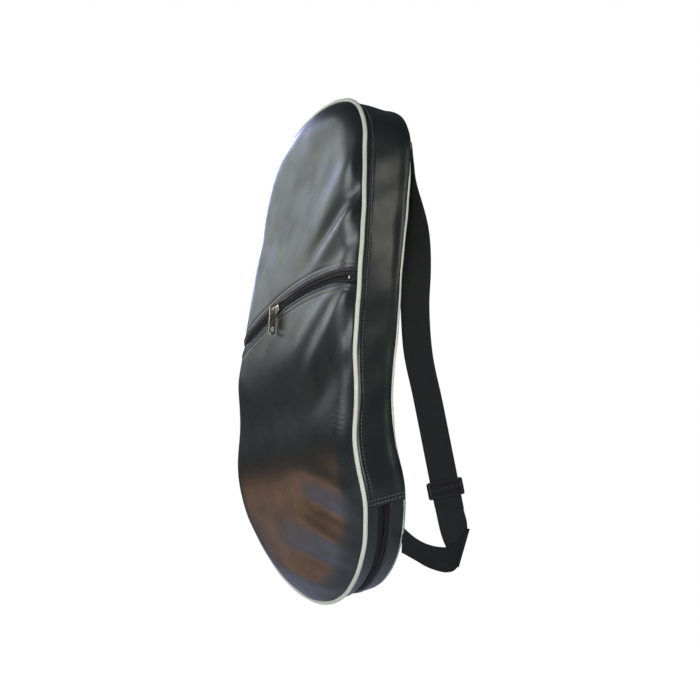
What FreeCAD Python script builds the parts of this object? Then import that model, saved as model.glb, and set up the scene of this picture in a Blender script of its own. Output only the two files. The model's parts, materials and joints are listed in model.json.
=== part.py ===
import FreeCAD, Part
import math
import os
from FreeCAD import Placement, Rotation, Vector

# A racket cover: a padded leather shell with two crowned faces, a gusset between them,
# a curved pocket zip on the front, an opening zip round the foot and one carrying strap.
#
# The shell is drawn flat and then bent. In the flat pattern X runs across the cover,
# Z runs up it from the foot and Y is the depth: 0 at the front piping, positive to the
# back. Below bend_start the pattern is left as it is. Between bend_start and bend_end
# it follows an arc about a line parallel to X, and above bend_end it is flat again,
# leaning back by bend_angle. Last, the whole cover is tilted to the way it hangs and
# moved so that the strap's upper anchor is the origin.

SIZES = {
    # the outline, as arcs that meet tangentially
    "overall_length": 495.0,
    "half_width": 139.0,
    "foot_radius": 148.0,
    "shoulder_radius": 1000.0,
    "corner_radius": 75.0,
    "head_radius": 204.0,
    # the bend and the hanging attitude
    "bend_start": 110.0,
    "bend_end": 210.0,
    "bend_angle": 22.5,
    "hang_tilt": 16.0,
    # depths
    "case_depth": 41.0,
    "front_crown": 10.0,
    "back_crown": 8.0,
    "leather": 2.0,
    "gusset_leather": 2.2,
    "foam": 4.6,
    "lining": 0.5,
    "piping_radius": 2.0,
    "panel_inset": 2.4,
    "body_gap": 0.3,
    "mouth_trim": 0.15,
    "pocket_bag_front": -5.3,
    "pocket_bag_overlap": 4.0,
    # the line where the lower front folds down once the foot zip is open
    "mouth_line": 62.0,
    "foot_zip_top": 81.0,
    "foot_slider_up": 72.0,
    # the pocket zip's arc in the flat pattern
    "pocket_zip_radius": 501.0,
    "pocket_zip_across": 49.0,
    "pocket_zip_up": -202.0,
    "pocket_zip_reach": 126.0,
    "pocket_slider_across": -35.0,
    "pocket_bag_foot": 118.0,
    # zip chain
    "zip_opening": 5.0,
    "tape_thickness": 0.8,
    "tape_width": 9.0,
    "coil_height": 1.4,
    "coil_width": 2.2,
    "coil_gap": 0.5,
    "foot_zip_depth": 20.5,
    "tape_gap": 0.2,
    "coil_end": 3.0,
    "stop_inset": 1.5,
    "stop_length": 2.4,
    "stop_width": 5.4,
    # zip sliders and pullers
    "slider_length": 11.0,
    "slider_width": 9.4,
    "slider_plate": 1.2,
    "slider_post": 0.6,
    "slider_clearance": 0.3,
    "leg_out": 4.05,
    "leg_thickness": 1.2,
    "leg_width": 2.4,
    "bar_radius": 0.8,
    "bar_height": 6.7,
    "puller_length": 31.0,
    "puller_width": 6.8,
    "puller_thickness": 1.2,
    "puller_head": 2.9,
    "puller_hole": 1.9,
    "eye_clearance": 0.07,
    # the carrying strap
    "webbing_width": 30.0,
    "webbing_thickness": 1.8,
    "anchor_across": 90.0,
    "anchor_up": 430.0,
    "patch_width": 36.0,
    "patch_height": 30.0,
    "patch_leather": 1.3,
    # the strap's adjuster
    "adjuster_up": 102.0,
    "adjuster_height": 16.0,
    "adjuster_rail": 2.6,
    "adjuster_bar": 3.4,
    "adjuster_depth": 5.2,
    "adjuster_slack": 0.3,
}

# The strap hangs free behind the right edge, so it is set out in the hanging attitude:
# height above the foot, distance across, distance back and turn of the webbing, where
# a turn of 0 lies flat against the back and 90 faces the side.
STRAP_STATIONS = (
    (427.0, 92.0, 39.4, 0.0),
    (385.0, 99.0, 37.5, 12.0),
    (345.0, 106.0, 40.5, 42.0),
    (305.0, 110.0, 40.0, 75.0),
    (270.0, 110.0, 39.5, 90.0),
    (226.0, 110.0, 42.5, 90.0),
    (184.0, 110.0, 52.0, 90.0),
    (84.0, 110.0, 73.5, 90.0),
)

# The folded lower end of the strap, seen from the side, as back and height pairs:
# from the back seam, round the diagonal fold and up to the hanging webbing.
STRAP_FOLD = (
    (30.0, 44.0),
    (30.0, 58.0),
    (36.0, 65.5),
    (55.0, 62.0),
    (58.5, 84.0),
    (88.5, 84.0),
    (92.0, 66.0),
    (84.0, 42.0),
    (75.0, 28.0),
    (60.0, 26.0),
)

doc = FreeCAD.newDocument("racket_cover")
sheet = doc.addObject("Spreadsheet::Sheet", "Sizes")
for row, (alias, value) in enumerate(SIZES.items(), start=1):
    sheet.set("A%d" % row, alias)
    sheet.set("B%d" % row, str(value))
    sheet.setAlias("B%d" % row, alias)
doc.recompute()


def size(alias):
    return float(sheet.get(alias))


LENGTH = size("overall_length")
HALF = size("half_width")
FOOT_R = size("foot_radius")
SHOULDER_R = size("shoulder_radius")
CORNER_R = size("corner_radius")
HEAD_R = size("head_radius")
BEND_START = size("bend_start")
BEND_END = size("bend_end")
BEND = math.radians(size("bend_angle"))
DEPTH = size("case_depth")
LEATHER = size("leather")
GUSSET = size("gusset_leather")
GAP = size("body_gap")
MOUTH = size("mouth_line")
MOUTH_TRIM = size("mouth_trim")
TAPE_GAP = size("tape_gap")
BEND_R = (BEND_END - BEND_START) / BEND
BEND_AXIS = Vector(0, BEND_R, BEND_START)
X_AXIS = Vector(1, 0, 0)
Y_AXIS = Vector(0, 1, 0)
Z_AXIS = Vector(0, 0, 1)

nodes = []


# ---- the outline ----------------------------------------------------------------

def lower_corner_radius():
    """The radius that joins the foot's arc to the upright side at bend_start."""
    top = HALF * HALF + BEND_START * BEND_START - 2 * BEND_START * FOOT_R
    return top / (2 * (HALF - FOOT_R))


def upper_corner_centre():
    """The centre of the shoulder's tight arc, tangent to the side and to the head."""
    side = Vector(HALF - SHOULDER_R, 0, BEND_END)
    head = Vector(0, 0, LENGTH - HEAD_R)
    a = SHOULDER_R - CORNER_R
    b = HEAD_R - CORNER_R
    across = head - side
    span = across.Length
    along = (a * a - b * b + span * span) / (2 * span)
    off = math.sqrt(a * a - along * along)
    unit = across / span
    normal = Vector(-unit.z, 0, unit.x)
    return side + unit * along + normal * off


def arc_edge(centre, radius, start, end):
    """An arc in the XZ plane between two angles, in radians from +X towards +Z."""
    points = []
    for angle in (start, (start + end) / 2, end):
        points.append(centre + Vector(math.cos(angle), 0, math.sin(angle)) * radius)
    return Part.Arc(*points).toShape()


def heading(start, end):
    return math.atan2(end.z - start.z, end.x - start.x)


def lower_edges(inset):
    """The outline below bend_start, from the right side round the foot to the left."""
    corner_r = lower_corner_radius()
    corner = Vector(HALF - corner_r, 0, BEND_START)
    foot = Vector(0, 0, FOOT_R)
    turn = heading(foot, corner)
    mirrored = Vector(-corner.x, 0, corner.z)
    return [
        arc_edge(corner, corner_r - inset, 0, turn),
        arc_edge(foot, FOOT_R - inset, turn, -math.pi - turn),
        arc_edge(mirrored, corner_r - inset, -math.pi - turn, -math.pi),
    ]


def upper_edges(inset):
    """The outline above bend_end, from the left side over the head to the right."""
    corner = upper_corner_centre()
    side = Vector(HALF - SHOULDER_R, 0, BEND_END)
    head = Vector(0, 0, LENGTH - HEAD_R)
    first = heading(side, corner)
    second = heading(head, corner)
    left_side = Vector(-side.x, 0, side.z)
    left_corner = Vector(-corner.x, 0, corner.z)
    return [
        arc_edge(left_side, SHOULDER_R - inset, math.pi, math.pi - first),
        arc_edge(left_corner, CORNER_R - inset, math.pi - first, math.pi - second),
        arc_edge(head, HEAD_R - inset, math.pi - second, second),
        arc_edge(corner, CORNER_R - inset, second, first),
        arc_edge(side, SHOULDER_R - inset, first, 0),
    ]


# ---- flat pieces and bending ----------------------------------------------------

def closed_face(edges):
    start = edges[0].firstVertex().Point
    end = edges[-1].lastVertex().Point
    return Part.Face(Part.Wire(edges + [Part.makeLine(end, start)]))


def lower_slab(inset, front, back):
    face = closed_face(lower_edges(inset))
    face.translate(Vector(0, front, 0))
    return face.extrude(Vector(0, back - front, 0))


def upper_slab(inset, front, back):
    face = closed_face(upper_edges(inset))
    face.translate(Vector(0, front, 0))
    return face.extrude(Vector(0, back - front, 0))


def block(low, high):
    spans = [high[i] - low[i] for i in range(3)]
    return Part.makeBox(spans[0], spans[1], spans[2], Vector(*low))


def bend_block(left, right, front, back):
    """A rectangle across the bend, swept along the bend's arc."""
    corners = [(left, front), (right, front), (right, back), (left, back), (left, front)]
    outline = Part.makePolygon([Vector(x, y, BEND_START) for x, y in corners])
    return Part.Face(outline).revolve(BEND_AXIS, X_AXIS, -math.degrees(BEND))


def lean_back(shape):
    """Moves a flat piece from above bend_end to its place beyond the bend."""
    moved = shape.copy()
    moved.translate(Vector(0, 0, BEND_START - BEND_END))
    moved.rotate(BEND_AXIS, X_AXIS, -math.degrees(BEND))
    return moved


def joined(pieces):
    return pieces[0].fuse(pieces[1:])


def wall(inset, thickness, front, back):
    """The ring that follows the outline at a depth: lower, bend and upper pieces."""
    inner = inset + thickness
    low = lower_slab(inset, front, back).cut(lower_slab(inner, front, back))
    high = upper_slab(inset, front, back).cut(upper_slab(inner, front, back))
    sides = [
        bend_block(HALF - inner, HALF - inset, front, back),
        bend_block(inset - HALF, inner - HALF, front, back),
    ]
    return low, sides, high


def below(shape, height):
    """Keeps what lies under a height in the flat lower part."""
    reach = 2 * HALF
    return shape.common(block((-reach, -reach, -reach), (reach, reach, height)))


def above(shape, height):
    reach = 2 * HALF
    return shape.common(block((-reach, -reach, height), (reach, reach, 3 * LENGTH)))


# ---- placing and registering ------------------------------------------------------

def stand_placement():
    """The tilt to the hanging attitude, about the strap's upper anchor as the origin."""
    tilt = Rotation(X_AXIS, size("hang_tilt"))
    return Placement(-tilt.multVec(strap_anchor()), tilt)


def bent_point(across, depth, up):
    """Where a point of the flat pattern lies once the pattern is bent."""
    if up <= BEND_START:
        return Vector(across, depth, up)
    turn = min((up - BEND_START) / BEND_R, BEND)
    past = max(up - BEND_END, 0)
    y = BEND_R - (BEND_R - depth) * math.cos(turn) + past * math.sin(turn)
    z = BEND_START + (BEND_R - depth) * math.sin(turn) + past * math.cos(turn)
    return Vector(across, y, z)


def strap_anchor():
    """The middle of the strap's upper end, on the back face near the head."""
    depth = DEPTH + size("back_crown") + size("patch_leather")
    return bent_point(size("anchor_across"), depth, size("anchor_up"))


def soft_node(label, shape, place=None):
    """A sewn or moulded piece whose shape follows the bent outline."""
    node = doc.addObject("Part::Feature", label)
    node.Label = label
    node.Shape = shape
    node.Placement = (place or stand_placement()).multiply(shape.Placement)
    nodes.append(node)
    return node


def hard_node(label, feature, place):
    """A piece built from primitives, placed from its own frame."""
    feature.Label = label
    feature.Placement = place
    nodes.append(feature)
    return feature


def box(name, spans, corner):
    """A Part::Box; spans and corner are spreadsheet expressions, one for each axis."""
    feature = doc.addObject("Part::Box", name)
    for prop, formula in zip(("Length", "Width", "Height"), spans):
        feature.setExpression(prop, formula)
    for axis, formula in zip("xyz", corner):
        feature.setExpression("Placement.Base." + axis, formula)
    return feature


def cylinder(name, radius, height, direction, corner):
    feature = doc.addObject("Part::Cylinder", name)
    feature.Placement = Placement(Vector(), Rotation(Vector(0, 0, 1), direction))
    feature.setExpression("Radius", radius)
    feature.setExpression("Height", height)
    for axis, formula in zip("xyz", corner):
        feature.setExpression("Placement.Base." + axis, formula)
    return feature


def fusion(name, pieces):
    feature = doc.addObject("Part::MultiFuse", name)
    feature.Shapes = pieces
    return feature


def cut_out(name, base, tool):
    feature = doc.addObject("Part::Cut", name)
    feature.Base = base
    feature.Tool = tool
    return feature


# ---- the crowned faces ------------------------------------------------------------

def front_tray():
    """The front leather: a face standing proud of the piping, with a side wall."""
    inset = size("panel_inset")
    face_front = -size("front_crown")
    face_back = face_front + LEATHER
    wall_back = size("piping_radius") - 0.1
    low, sides, high = wall(inset, LEATHER, face_back, wall_back)
    low = low.fuse(lower_slab(inset, face_front, face_back))
    middle = joined([bend_block(inset - HALF, HALF - inset, face_front, face_back)] + sides)
    high = high.fuse(upper_slab(inset, face_front, face_back))
    return low, middle, high


def pocket_zip_disc(change):
    """A disc whose rim runs beside the pocket zip, in the flat pattern."""
    centre = Vector(size("pocket_zip_across"), -2 * DEPTH, size("pocket_zip_up"))
    radius = size("pocket_zip_radius") + change
    return Part.makeCylinder(radius, 4 * DEPTH, centre, Y_AXIS)


def make_front_panels():
    opening = size("zip_opening")
    low, middle, high = front_tray()
    soft_node("front_panel_upper", lean_back(high.cut(pocket_zip_disc(opening))))
    pocket = lean_back(high.common(pocket_zip_disc(-opening)))
    soft_node("pocket_front", joined([pocket, middle, above(low, MOUTH + MOUTH_TRIM)]))
    soft_node("lower_front_flap", below(low, MOUTH - MOUTH_TRIM))


def sheet_layer(inset, front, back):
    """A flat layer that fills the outline at a depth."""
    low = lower_slab(inset, front, back)
    middle = bend_block(inset - HALF, HALF - inset, front, back)
    high = upper_slab(inset, front, back)
    return low, middle, high


def make_front_layers():
    """The pocket bag's back, the foam and the lining behind the front leather."""
    inset = size("panel_inset") + LEATHER + GAP
    lining = size("lining")
    bag_front = size("pocket_bag_front")
    foam_front = bag_front + lining + GAP / 2
    foam_back = foam_front + size("foam")
    bag_top_edge = size("tape_width") + size("pocket_bag_overlap")
    low, middle, high = sheet_layer(inset, bag_front, bag_front + lining)
    bag_top = lean_back(high.common(pocket_zip_disc(bag_top_edge)))
    bag_middle = above(middle, size("pocket_bag_foot"))
    soft_node("pocket_bag", bag_top.fuse(bag_middle))
    low, middle, high = sheet_layer(inset, foam_front, foam_back)
    upper = joined([lean_back(high), middle, above(low, MOUTH + MOUTH_TRIM)])
    soft_node("front_padding", upper)
    soft_node("flap_padding", below(low, MOUTH - MOUTH_TRIM))
    lining_front = foam_back + GAP / 2
    low, middle, high = sheet_layer(inset, lining_front, lining_front + lining)
    upper = joined([lean_back(high), middle, above(low, MOUTH + MOUTH_TRIM)])
    soft_node("front_lining", upper)
    soft_node("flap_lining", below(low, MOUTH - MOUTH_TRIM))


def make_back():
    """The back leather stands proud of its piping, with foam and lining inside it."""
    inset = size("panel_inset")
    face_back = DEPTH + size("back_crown")
    face_front = face_back - LEATHER
    wall_front = DEPTH - size("piping_radius") + 0.1
    low, sides, high = wall(inset, LEATHER, wall_front, face_front)
    low = low.fuse(lower_slab(inset, face_front, face_back))
    middle = [bend_block(inset - HALF, HALF - inset, face_front, face_back)] + sides
    high = high.fuse(upper_slab(inset, face_front, face_back))
    soft_node("back_panel", joined([low] + middle + [lean_back(high)]))
    inner = inset + LEATHER + GAP
    foam_back = face_front - GAP / 2
    foam_front = foam_back - size("foam")
    low, middle, high = sheet_layer(inner, foam_front, foam_back)
    soft_node("back_padding", joined([low, middle, lean_back(high)]))
    lining_back = foam_front - GAP / 2
    low, middle, high = sheet_layer(inner, lining_back - size("lining"), lining_back)
    soft_node("back_lining", joined([low, middle, lean_back(high)]))


# ---- the gusset and the foot zip ----------------------------------------------------

def foot_ring(inset, thickness, front, back, top):
    """A band of the foot's wall, up to a height on both sides."""
    outer = lower_slab(inset, front, back)
    return below(outer.cut(lower_slab(inset + thickness, front, back)), top)


def make_gusset():
    """The wall between the faces; its front strip at the foot goes with the flap."""
    front = size("piping_radius") + 0.1
    back = DEPTH - front
    top = size("foot_zip_top")
    zip_front = size("foot_zip_depth") - size("zip_opening")
    zip_back = size("foot_zip_depth") + size("zip_opening")
    low, sides, high = wall(0, GUSSET, front, back)
    rear_strip = foot_ring(0, GUSSET, zip_back, back, top)
    ends = above(foot_ring(0, GUSSET, front, zip_front, top), MOUTH + MOUTH_TRIM)
    soft_node("gusset", joined([above(low, top)] + sides + [lean_back(high), rear_strip, ends]))
    flap_strip = foot_ring(0, GUSSET, front, zip_front, MOUTH - MOUTH_TRIM)
    soft_node("flap_zip_strip", flap_strip)


def make_foot_zip():
    """Each half of the zip is a tape with its row of coil, a little off the middle."""
    middle = size("foot_zip_depth")
    gap = size("coil_gap")
    coil = size("coil_height")
    under = GUSSET + TAPE_GAP
    top = size("foot_zip_top") - GAP
    rows = (
        ("tape", under, size("tape_thickness"), size("tape_width")),
        ("coil", under - coil, coil, size("coil_width")),
    )
    for name, inset, thickness, wide in rows:
        rear = foot_ring(inset, thickness, middle + gap, middle + gap + wide, top)
        soft_node("foot_zip_%s_rear" % name, rear)
        front = foot_ring(inset, thickness, middle - gap - wide, middle - gap, top)
        soft_node("foot_zip_%s_ends" % name, above(front, MOUTH + MOUTH_TRIM))
        soft_node("flap_zip_%s" % name, below(front, MOUTH - MOUTH_TRIM))


def zip_band(inner, outer, front, back, reach):
    """A band along the pocket zip's arc, in the flat pattern."""
    band = pocket_zip_disc(outer).cut(pocket_zip_disc(inner))
    return band.common(block((-reach, front, BEND_END), (reach, back, LENGTH)))


def make_pocket_zip():
    tape = size("tape_thickness")
    coil = size("coil_height")
    gap = size("coil_gap")
    reach = size("pocket_zip_reach")
    tape_front = LEATHER - size("front_crown") + TAPE_GAP
    for side, name in ((-1, "lower"), (1, "upper")):
        near = side * gap
        far = side * (gap + size("tape_width"))
        span = (min(near, far), max(near, far))
        band = zip_band(*span, tape_front, tape_front + tape, reach)
        soft_node("pocket_zip_tape_" + name, lean_back(band))
        far = side * (gap + size("coil_width"))
        span = (min(near, far), max(near, far))
        row = zip_band(*span, tape_front - coil, tape_front, reach - size("coil_end"))
        soft_node("pocket_zip_coil_" + name, lean_back(row))


# ---- piping -------------------------------------------------------------------------

def piping(edges):
    path = Part.Wire(edges)
    start = edges[0].firstVertex().Point
    tangent = edges[0].tangentAt(edges[0].FirstParameter)
    circle = Part.makeCircle(size("piping_radius"), start, tangent)
    return path.makePipeShell([Part.Wire(circle)], True, True)


def oriented(edges):
    """The edges in order, each running on from the one before."""
    return Part.Wire(Part.__sortEdges__(edges)).OrderedEdges


def side_arc(across, depth):
    """The bend's arc at one side of the outline."""
    ends = [bent_point(across, depth, BEND_START + (BEND_END - BEND_START) * k / 2)
            for k in range(3)]
    return Part.Arc(*ends).toShape()


def make_piping():
    flap_zone = block((-2 * HALF, -DEPTH, -DEPTH), (2 * HALF, 2 * DEPTH, MOUTH - GAP))
    lower = Part.Wire(lower_edges(0))
    flap_edges = lower.common(flap_zone).Edges
    side_edges = above(lower, MOUTH + GAP).Edges
    upper = [lean_back(edge) for edge in upper_edges(0)]
    sides = [side_arc(HALF, 0), side_arc(-HALF, 0)]
    soft_node("front_piping", piping(oriented(side_edges + sides + upper)))
    soft_node("flap_piping", piping(oriented(flap_edges)))
    back_lower = [edge.translated(Vector(0, DEPTH, 0)) for edge in lower_edges(0)]
    back_upper = [lean_back(edge.translated(Vector(0, DEPTH, 0))) for edge in upper_edges(0)]
    back_sides = [side_arc(HALF, DEPTH), side_arc(-HALF, DEPTH)]
    ring = oriented(back_lower + back_sides + back_upper)
    soft_node("back_piping", piping(ring))


# ---- zip sliders and pullers --------------------------------------------------------

def slider(name, cross_bar):
    """Two plates joined by a post between the rows of coil, with a bar for the puller.

    In its own frame X is the way it travels and Z points out of the cover, with 0 at
    the front of the tape. The bar runs along the travel, or across it.
    """
    plate = "Sizes.slider_plate"
    length = "Sizes.slider_length"
    width = "Sizes.slider_width"
    centre = ("-Sizes.slider_length / 2", "-Sizes.slider_width / 2")
    over = "Sizes.coil_height + Sizes.slider_clearance"
    under = "-Sizes.tape_thickness - Sizes.slider_clearance - Sizes.slider_plate"
    top = box(name + "_top", (length, width, plate), centre + (over,))
    foot = box(name + "_foot", (length, width, plate), centre + (under,))
    post_height = "(%s) - (%s)" % (over, under)
    post = box(
        name + "_post",
        ("Sizes.slider_length / 2", "Sizes.slider_post", post_height),
        ("-Sizes.slider_length / 4", "-Sizes.slider_post / 2", under),
    )
    leg_height = "Sizes.bar_height + Sizes.bar_radius - (%s)" % over
    thin = "Sizes.leg_thickness"
    wide = "Sizes.leg_width"
    pieces = [top, foot, post]
    for side in (-1, 1):
        reach = "%d * Sizes.leg_out - Sizes.leg_thickness / 2" % side
        spans = (thin, wide, leg_height)
        corner = (reach, "-Sizes.leg_width / 2", over)
        if cross_bar:
            spans = (wide, thin, leg_height)
            corner = ("-Sizes.leg_width / 2", reach, over)
        pieces.append(box(name + "_leg%d" % side, spans, corner))
    height = "Sizes.bar_height"
    if cross_bar:
        way = Vector(0, 1, 0)
        start = ("0", "-Sizes.leg_out", height)
    else:
        way = Vector(1, 0, 0)
        start = ("-Sizes.leg_out", "0", height)
    pieces.append(cylinder(name + "_bar", "Sizes.bar_radius", "2 * Sizes.leg_out", way, start))
    return fusion(name, pieces)


def hanging_puller(name):
    """A flat tab hung edge-on from a bar along X; it reaches down along -Y."""
    width = "Sizes.puller_width"
    thick = "Sizes.puller_thickness"
    drop = "Sizes.puller_length - Sizes.puller_width / 2"
    edge = "-%s / 2" % thick
    tip_at = (edge, "-(%s)" % drop, "0")
    through = "4 * %s" % thick
    hole_edge = "-2 * %s" % thick
    eye_radius = "Sizes.bar_radius + Sizes.eye_clearance"
    blade = box(name + "_blade", (thick, drop, width), (edge, "-(%s)" % drop, "-%s / 2" % width))
    tip = cylinder(name + "_tip", "%s / 2" % width, thick, X_AXIS, tip_at)
    head = cylinder(name + "_head", "Sizes.puller_head", thick, X_AXIS, (edge, "0", "0"))
    eye = cylinder(name + "_eye", eye_radius, through, X_AXIS, (hole_edge, "0", "0"))
    slot_at = (hole_edge, "-(%s)" % drop, "0")
    slot = cylinder(name + "_slot", "Sizes.puller_hole", through, X_AXIS, slot_at)
    tab = fusion(name + "_tab", [blade, tip, head])
    return cut_out(name, tab, fusion(name + "_holes", [eye, slot]))


def flat_puller(name):
    """A flat tab with a barrel round a bar along Y; it reaches along -X."""
    width = "Sizes.puller_width"
    thick = "Sizes.puller_thickness"
    drop = "Sizes.puller_length - Sizes.puller_width / 2"
    edge = "-%s / 2" % thick
    side = "-%s / 2" % width
    eye_radius = "Sizes.bar_radius + Sizes.eye_clearance"
    blade = box(name + "_blade", (drop, width, thick), ("-(%s)" % drop, side, edge))
    tip = cylinder(name + "_tip", "%s / 2" % width, thick, Z_AXIS, ("-(%s)" % drop, "0", edge))
    barrel = cylinder(name + "_barrel", "Sizes.puller_hole", width, Y_AXIS, ("0", side, "0"))
    eye_at = ("0", "-" + width, "0")
    eye = cylinder(name + "_eye", eye_radius, "2 * %s" % width, Y_AXIS, eye_at)
    slot_at = ("-(%s)" % drop, "0", "-2 * %s" % thick)
    slot = cylinder(name + "_slot", "Sizes.puller_hole", "4 * %s" % thick, Z_AXIS, slot_at)
    tab = fusion(name + "_tab", [blade, tip, barrel])
    return cut_out(name, tab, fusion(name + "_holes", [eye, slot]))


def frame_from(origin, travel, outward):
    """A placement whose X is the travel and whose Z points out of the cover."""
    across = outward.cross(travel)
    matrix = FreeCAD.Matrix(
        travel.x, across.x, outward.x, origin.x,
        travel.y, across.y, outward.y, origin.y,
        travel.z, across.z, outward.z, origin.z,
        0, 0, 0, 1,
    )
    return Placement(matrix)


def lean_placement():
    """The move that lean_back makes, as a placement."""
    lean = Rotation(X_AXIS, -math.degrees(BEND))
    shift = Vector(0, 0, BEND_START - BEND_END)
    return Placement(BEND_AXIS + lean.multVec(shift - BEND_AXIS), lean)


def make_pocket_slider():
    across = size("pocket_slider_across") - size("pocket_zip_across")
    turn = math.asin(across / size("pocket_zip_radius"))
    rise = size("pocket_zip_radius") * math.cos(turn)
    tape_front = LEATHER - size("front_crown") + TAPE_GAP
    origin = Vector(size("pocket_slider_across"), tape_front, size("pocket_zip_up") + rise)
    travel = Vector(math.cos(turn), 0, -math.sin(turn))
    place = lean_placement().multiply(frame_from(origin, travel, Vector(0, -1, 0)))
    place = stand_placement().multiply(place)
    hard_node("pocket_zip_slider", slider("pocket_slider", False), place)
    bar = Placement(Vector(0, 0, size("bar_height")), Rotation())
    hard_node("pocket_zip_puller", hanging_puller("pocket_puller"), place.multiply(bar))


def make_foot_slider():
    """The foot zip's slider waits at the left end, above the flap, with its tab hanging."""
    radius = FOOT_R - GUSSET - TAPE_GAP
    turn = math.asin((size("foot_slider_up") - FOOT_R) / FOOT_R)
    outward = Vector(-math.cos(turn), 0, math.sin(turn))
    centre = Vector(0, size("foot_zip_depth"), FOOT_R)
    travel = Vector(math.sin(turn), 0, math.cos(turn))
    place = stand_placement().multiply(frame_from(centre + outward * radius, travel, outward))
    hard_node("foot_zip_slider", slider("foot_slider", True), place)
    hang = Rotation(Y_AXIS, -math.degrees(turn))
    bar = Placement(Vector(0, 0, size("bar_height")), hang)
    hard_node("foot_zip_puller", flat_puller("foot_puller"), place.multiply(bar))


def make_zip_stops():
    """Metal clips closed over the coil at the ends of both zips."""
    tape_front = LEATHER - size("front_crown") + TAPE_GAP
    coil = size("coil_height")
    long = size("stop_length") / 2
    wide = size("stop_width") / 2
    clips = []
    for side in (-1, 1):
        across = side * (size("pocket_zip_reach") - size("stop_inset"))
        offset = across - size("pocket_zip_across")
        rise = math.sqrt(size("pocket_zip_radius") ** 2 - offset ** 2)
        up = size("pocket_zip_up") + rise
        low = (across - long, tape_front - coil, up - wide)
        high = (across + long, tape_front, up + wide)
        clips.append(lean_back(block(low, high)))
    soft_node("pocket_zip_stops", Part.makeCompound(clips))


# ---- the carrying strap ---------------------------------------------------------------

def hanging_place():
    """The move from the hanging attitude, measured from the foot, to the origin."""
    return Placement(stand_placement().Base, Rotation())


def strap_section(station):
    """A flat cut across the webbing, level in the hanging attitude."""
    height, across, back, turn = station
    angle = math.radians(turn)
    wide = Vector(math.cos(angle), math.sin(angle), 0) * (size("webbing_width") / 2)
    thick = Vector(-math.sin(angle), math.cos(angle), 0) * (size("webbing_thickness") / 2)
    middle = Vector(across, back, height)
    corners = [middle - wide - thick, middle + wide - thick, middle + wide + thick, middle - wide + thick]
    return Part.makePolygon(corners + corners[:1])


def make_strap():
    hanging = Part.makeLoft([strap_section(station) for station in STRAP_STATIONS], True, True)
    soft_node("strap_webbing", hanging, hanging_place())
    across = STRAP_STATIONS[-1][1]
    half = size("webbing_thickness") / 2
    points = [Vector(across - half, back, height) for back, height in STRAP_FOLD]
    fold = Part.Face(Part.makePolygon(points + points[:1])).extrude(Vector(2 * half, 0, 0))
    soft_node("strap_lower_end", fold, hanging_place())
    reach = size("patch_width") / 2
    rise = size("patch_height") / 2
    outer = DEPTH + size("back_crown")
    across = size("anchor_across")
    up = size("anchor_up")
    low = (across - reach, outer, up - rise)
    high = (across + reach, outer + size("patch_leather"), up + rise)
    soft_node("strap_patch", lean_back(block(low, high)))


def make_adjuster():
    """A ladder of three bars: the webbing runs behind the middle one only."""
    above_it, below_it = STRAP_STATIONS[-2:]
    start = Vector(below_it[1], below_it[2], below_it[0])
    upward = Vector(above_it[1], above_it[2], above_it[0]) - start
    part_way = (size("adjuster_up") - start.z) / upward.z
    origin = start + upward * part_way
    inner = "(Sizes.webbing_width / 2 + 2 * Sizes.adjuster_slack)"
    deep = "Sizes.adjuster_depth"
    tall = "Sizes.adjuster_height"
    bar = "Sizes.adjuster_bar"
    level = "(Sizes.webbing_thickness / 2 + Sizes.adjuster_slack)"
    flat = "(%s / 2 - %s)" % (deep, level)
    pieces = []
    for name, side in (("left", "-%s - Sizes.adjuster_rail" % inner), ("right", inner)):
        corner = ("-%s / 2" % deep, side, "-%s / 2" % tall)
        pieces.append(box("adjuster_" + name, (deep, "Sizes.adjuster_rail", tall), corner))
    places = (
        ("upper", "-%s / 2" % deep, "%s / 2 - %s" % (tall, bar)),
        ("middle", level, "-%s / 2" % bar),
        ("lower", "-%s / 2" % deep, "-%s / 2" % tall),
    )
    for name, out, rise in places:
        corner = (out, "-" + inner, rise)
        pieces.append(box("adjuster_" + name, (flat, "2 * %s" % inner, bar), corner))
    place = hanging_place().multiply(frame_up(origin, upward))
    hard_node("strap_adjuster", fusion("adjuster", pieces), place)


def frame_up(origin, upward):
    """A placement whose Z runs along a direction and whose X stays level."""
    up = Vector(upward).normalize()
    across = up.cross(X_AXIS).normalize()
    return Placement(FreeCAD.Matrix(
        1, across.x, up.x, origin.x,
        0, across.y, up.y, origin.y,
        0, across.z, up.z, origin.z,
        0, 0, 0, 1,
    ))


# ---- making everything ------------------------------------------------------------------

make_front_panels()
make_front_layers()
make_back()
make_gusset()
make_foot_zip()
make_pocket_zip()
make_piping()
make_pocket_slider()
make_foot_slider()
make_zip_stops()
make_strap()
make_adjuster()
doc.recompute()

for item in doc.Objects:
    if "Invalid" in item.State or "Error" in item.State:
        raise RuntimeError("%s did not rebuild: %s" % (item.Label, item.State))
os.makedirs("parts", exist_ok=True)
for node in nodes:
    shape = node.Shape
    if shape.isNull() or not shape.isValid():
        raise RuntimeError("%s has no valid shape" % node.Label)
    shape.exportStep("parts/%s.step" % node.Label)
print("%d nodes" % len(nodes))
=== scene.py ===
import json
import math

import bmesh
import bpy
import numpy as np
from bpy.props import FloatProperty, FloatVectorProperty, PointerProperty
from mathutils import Matrix, Vector


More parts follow.
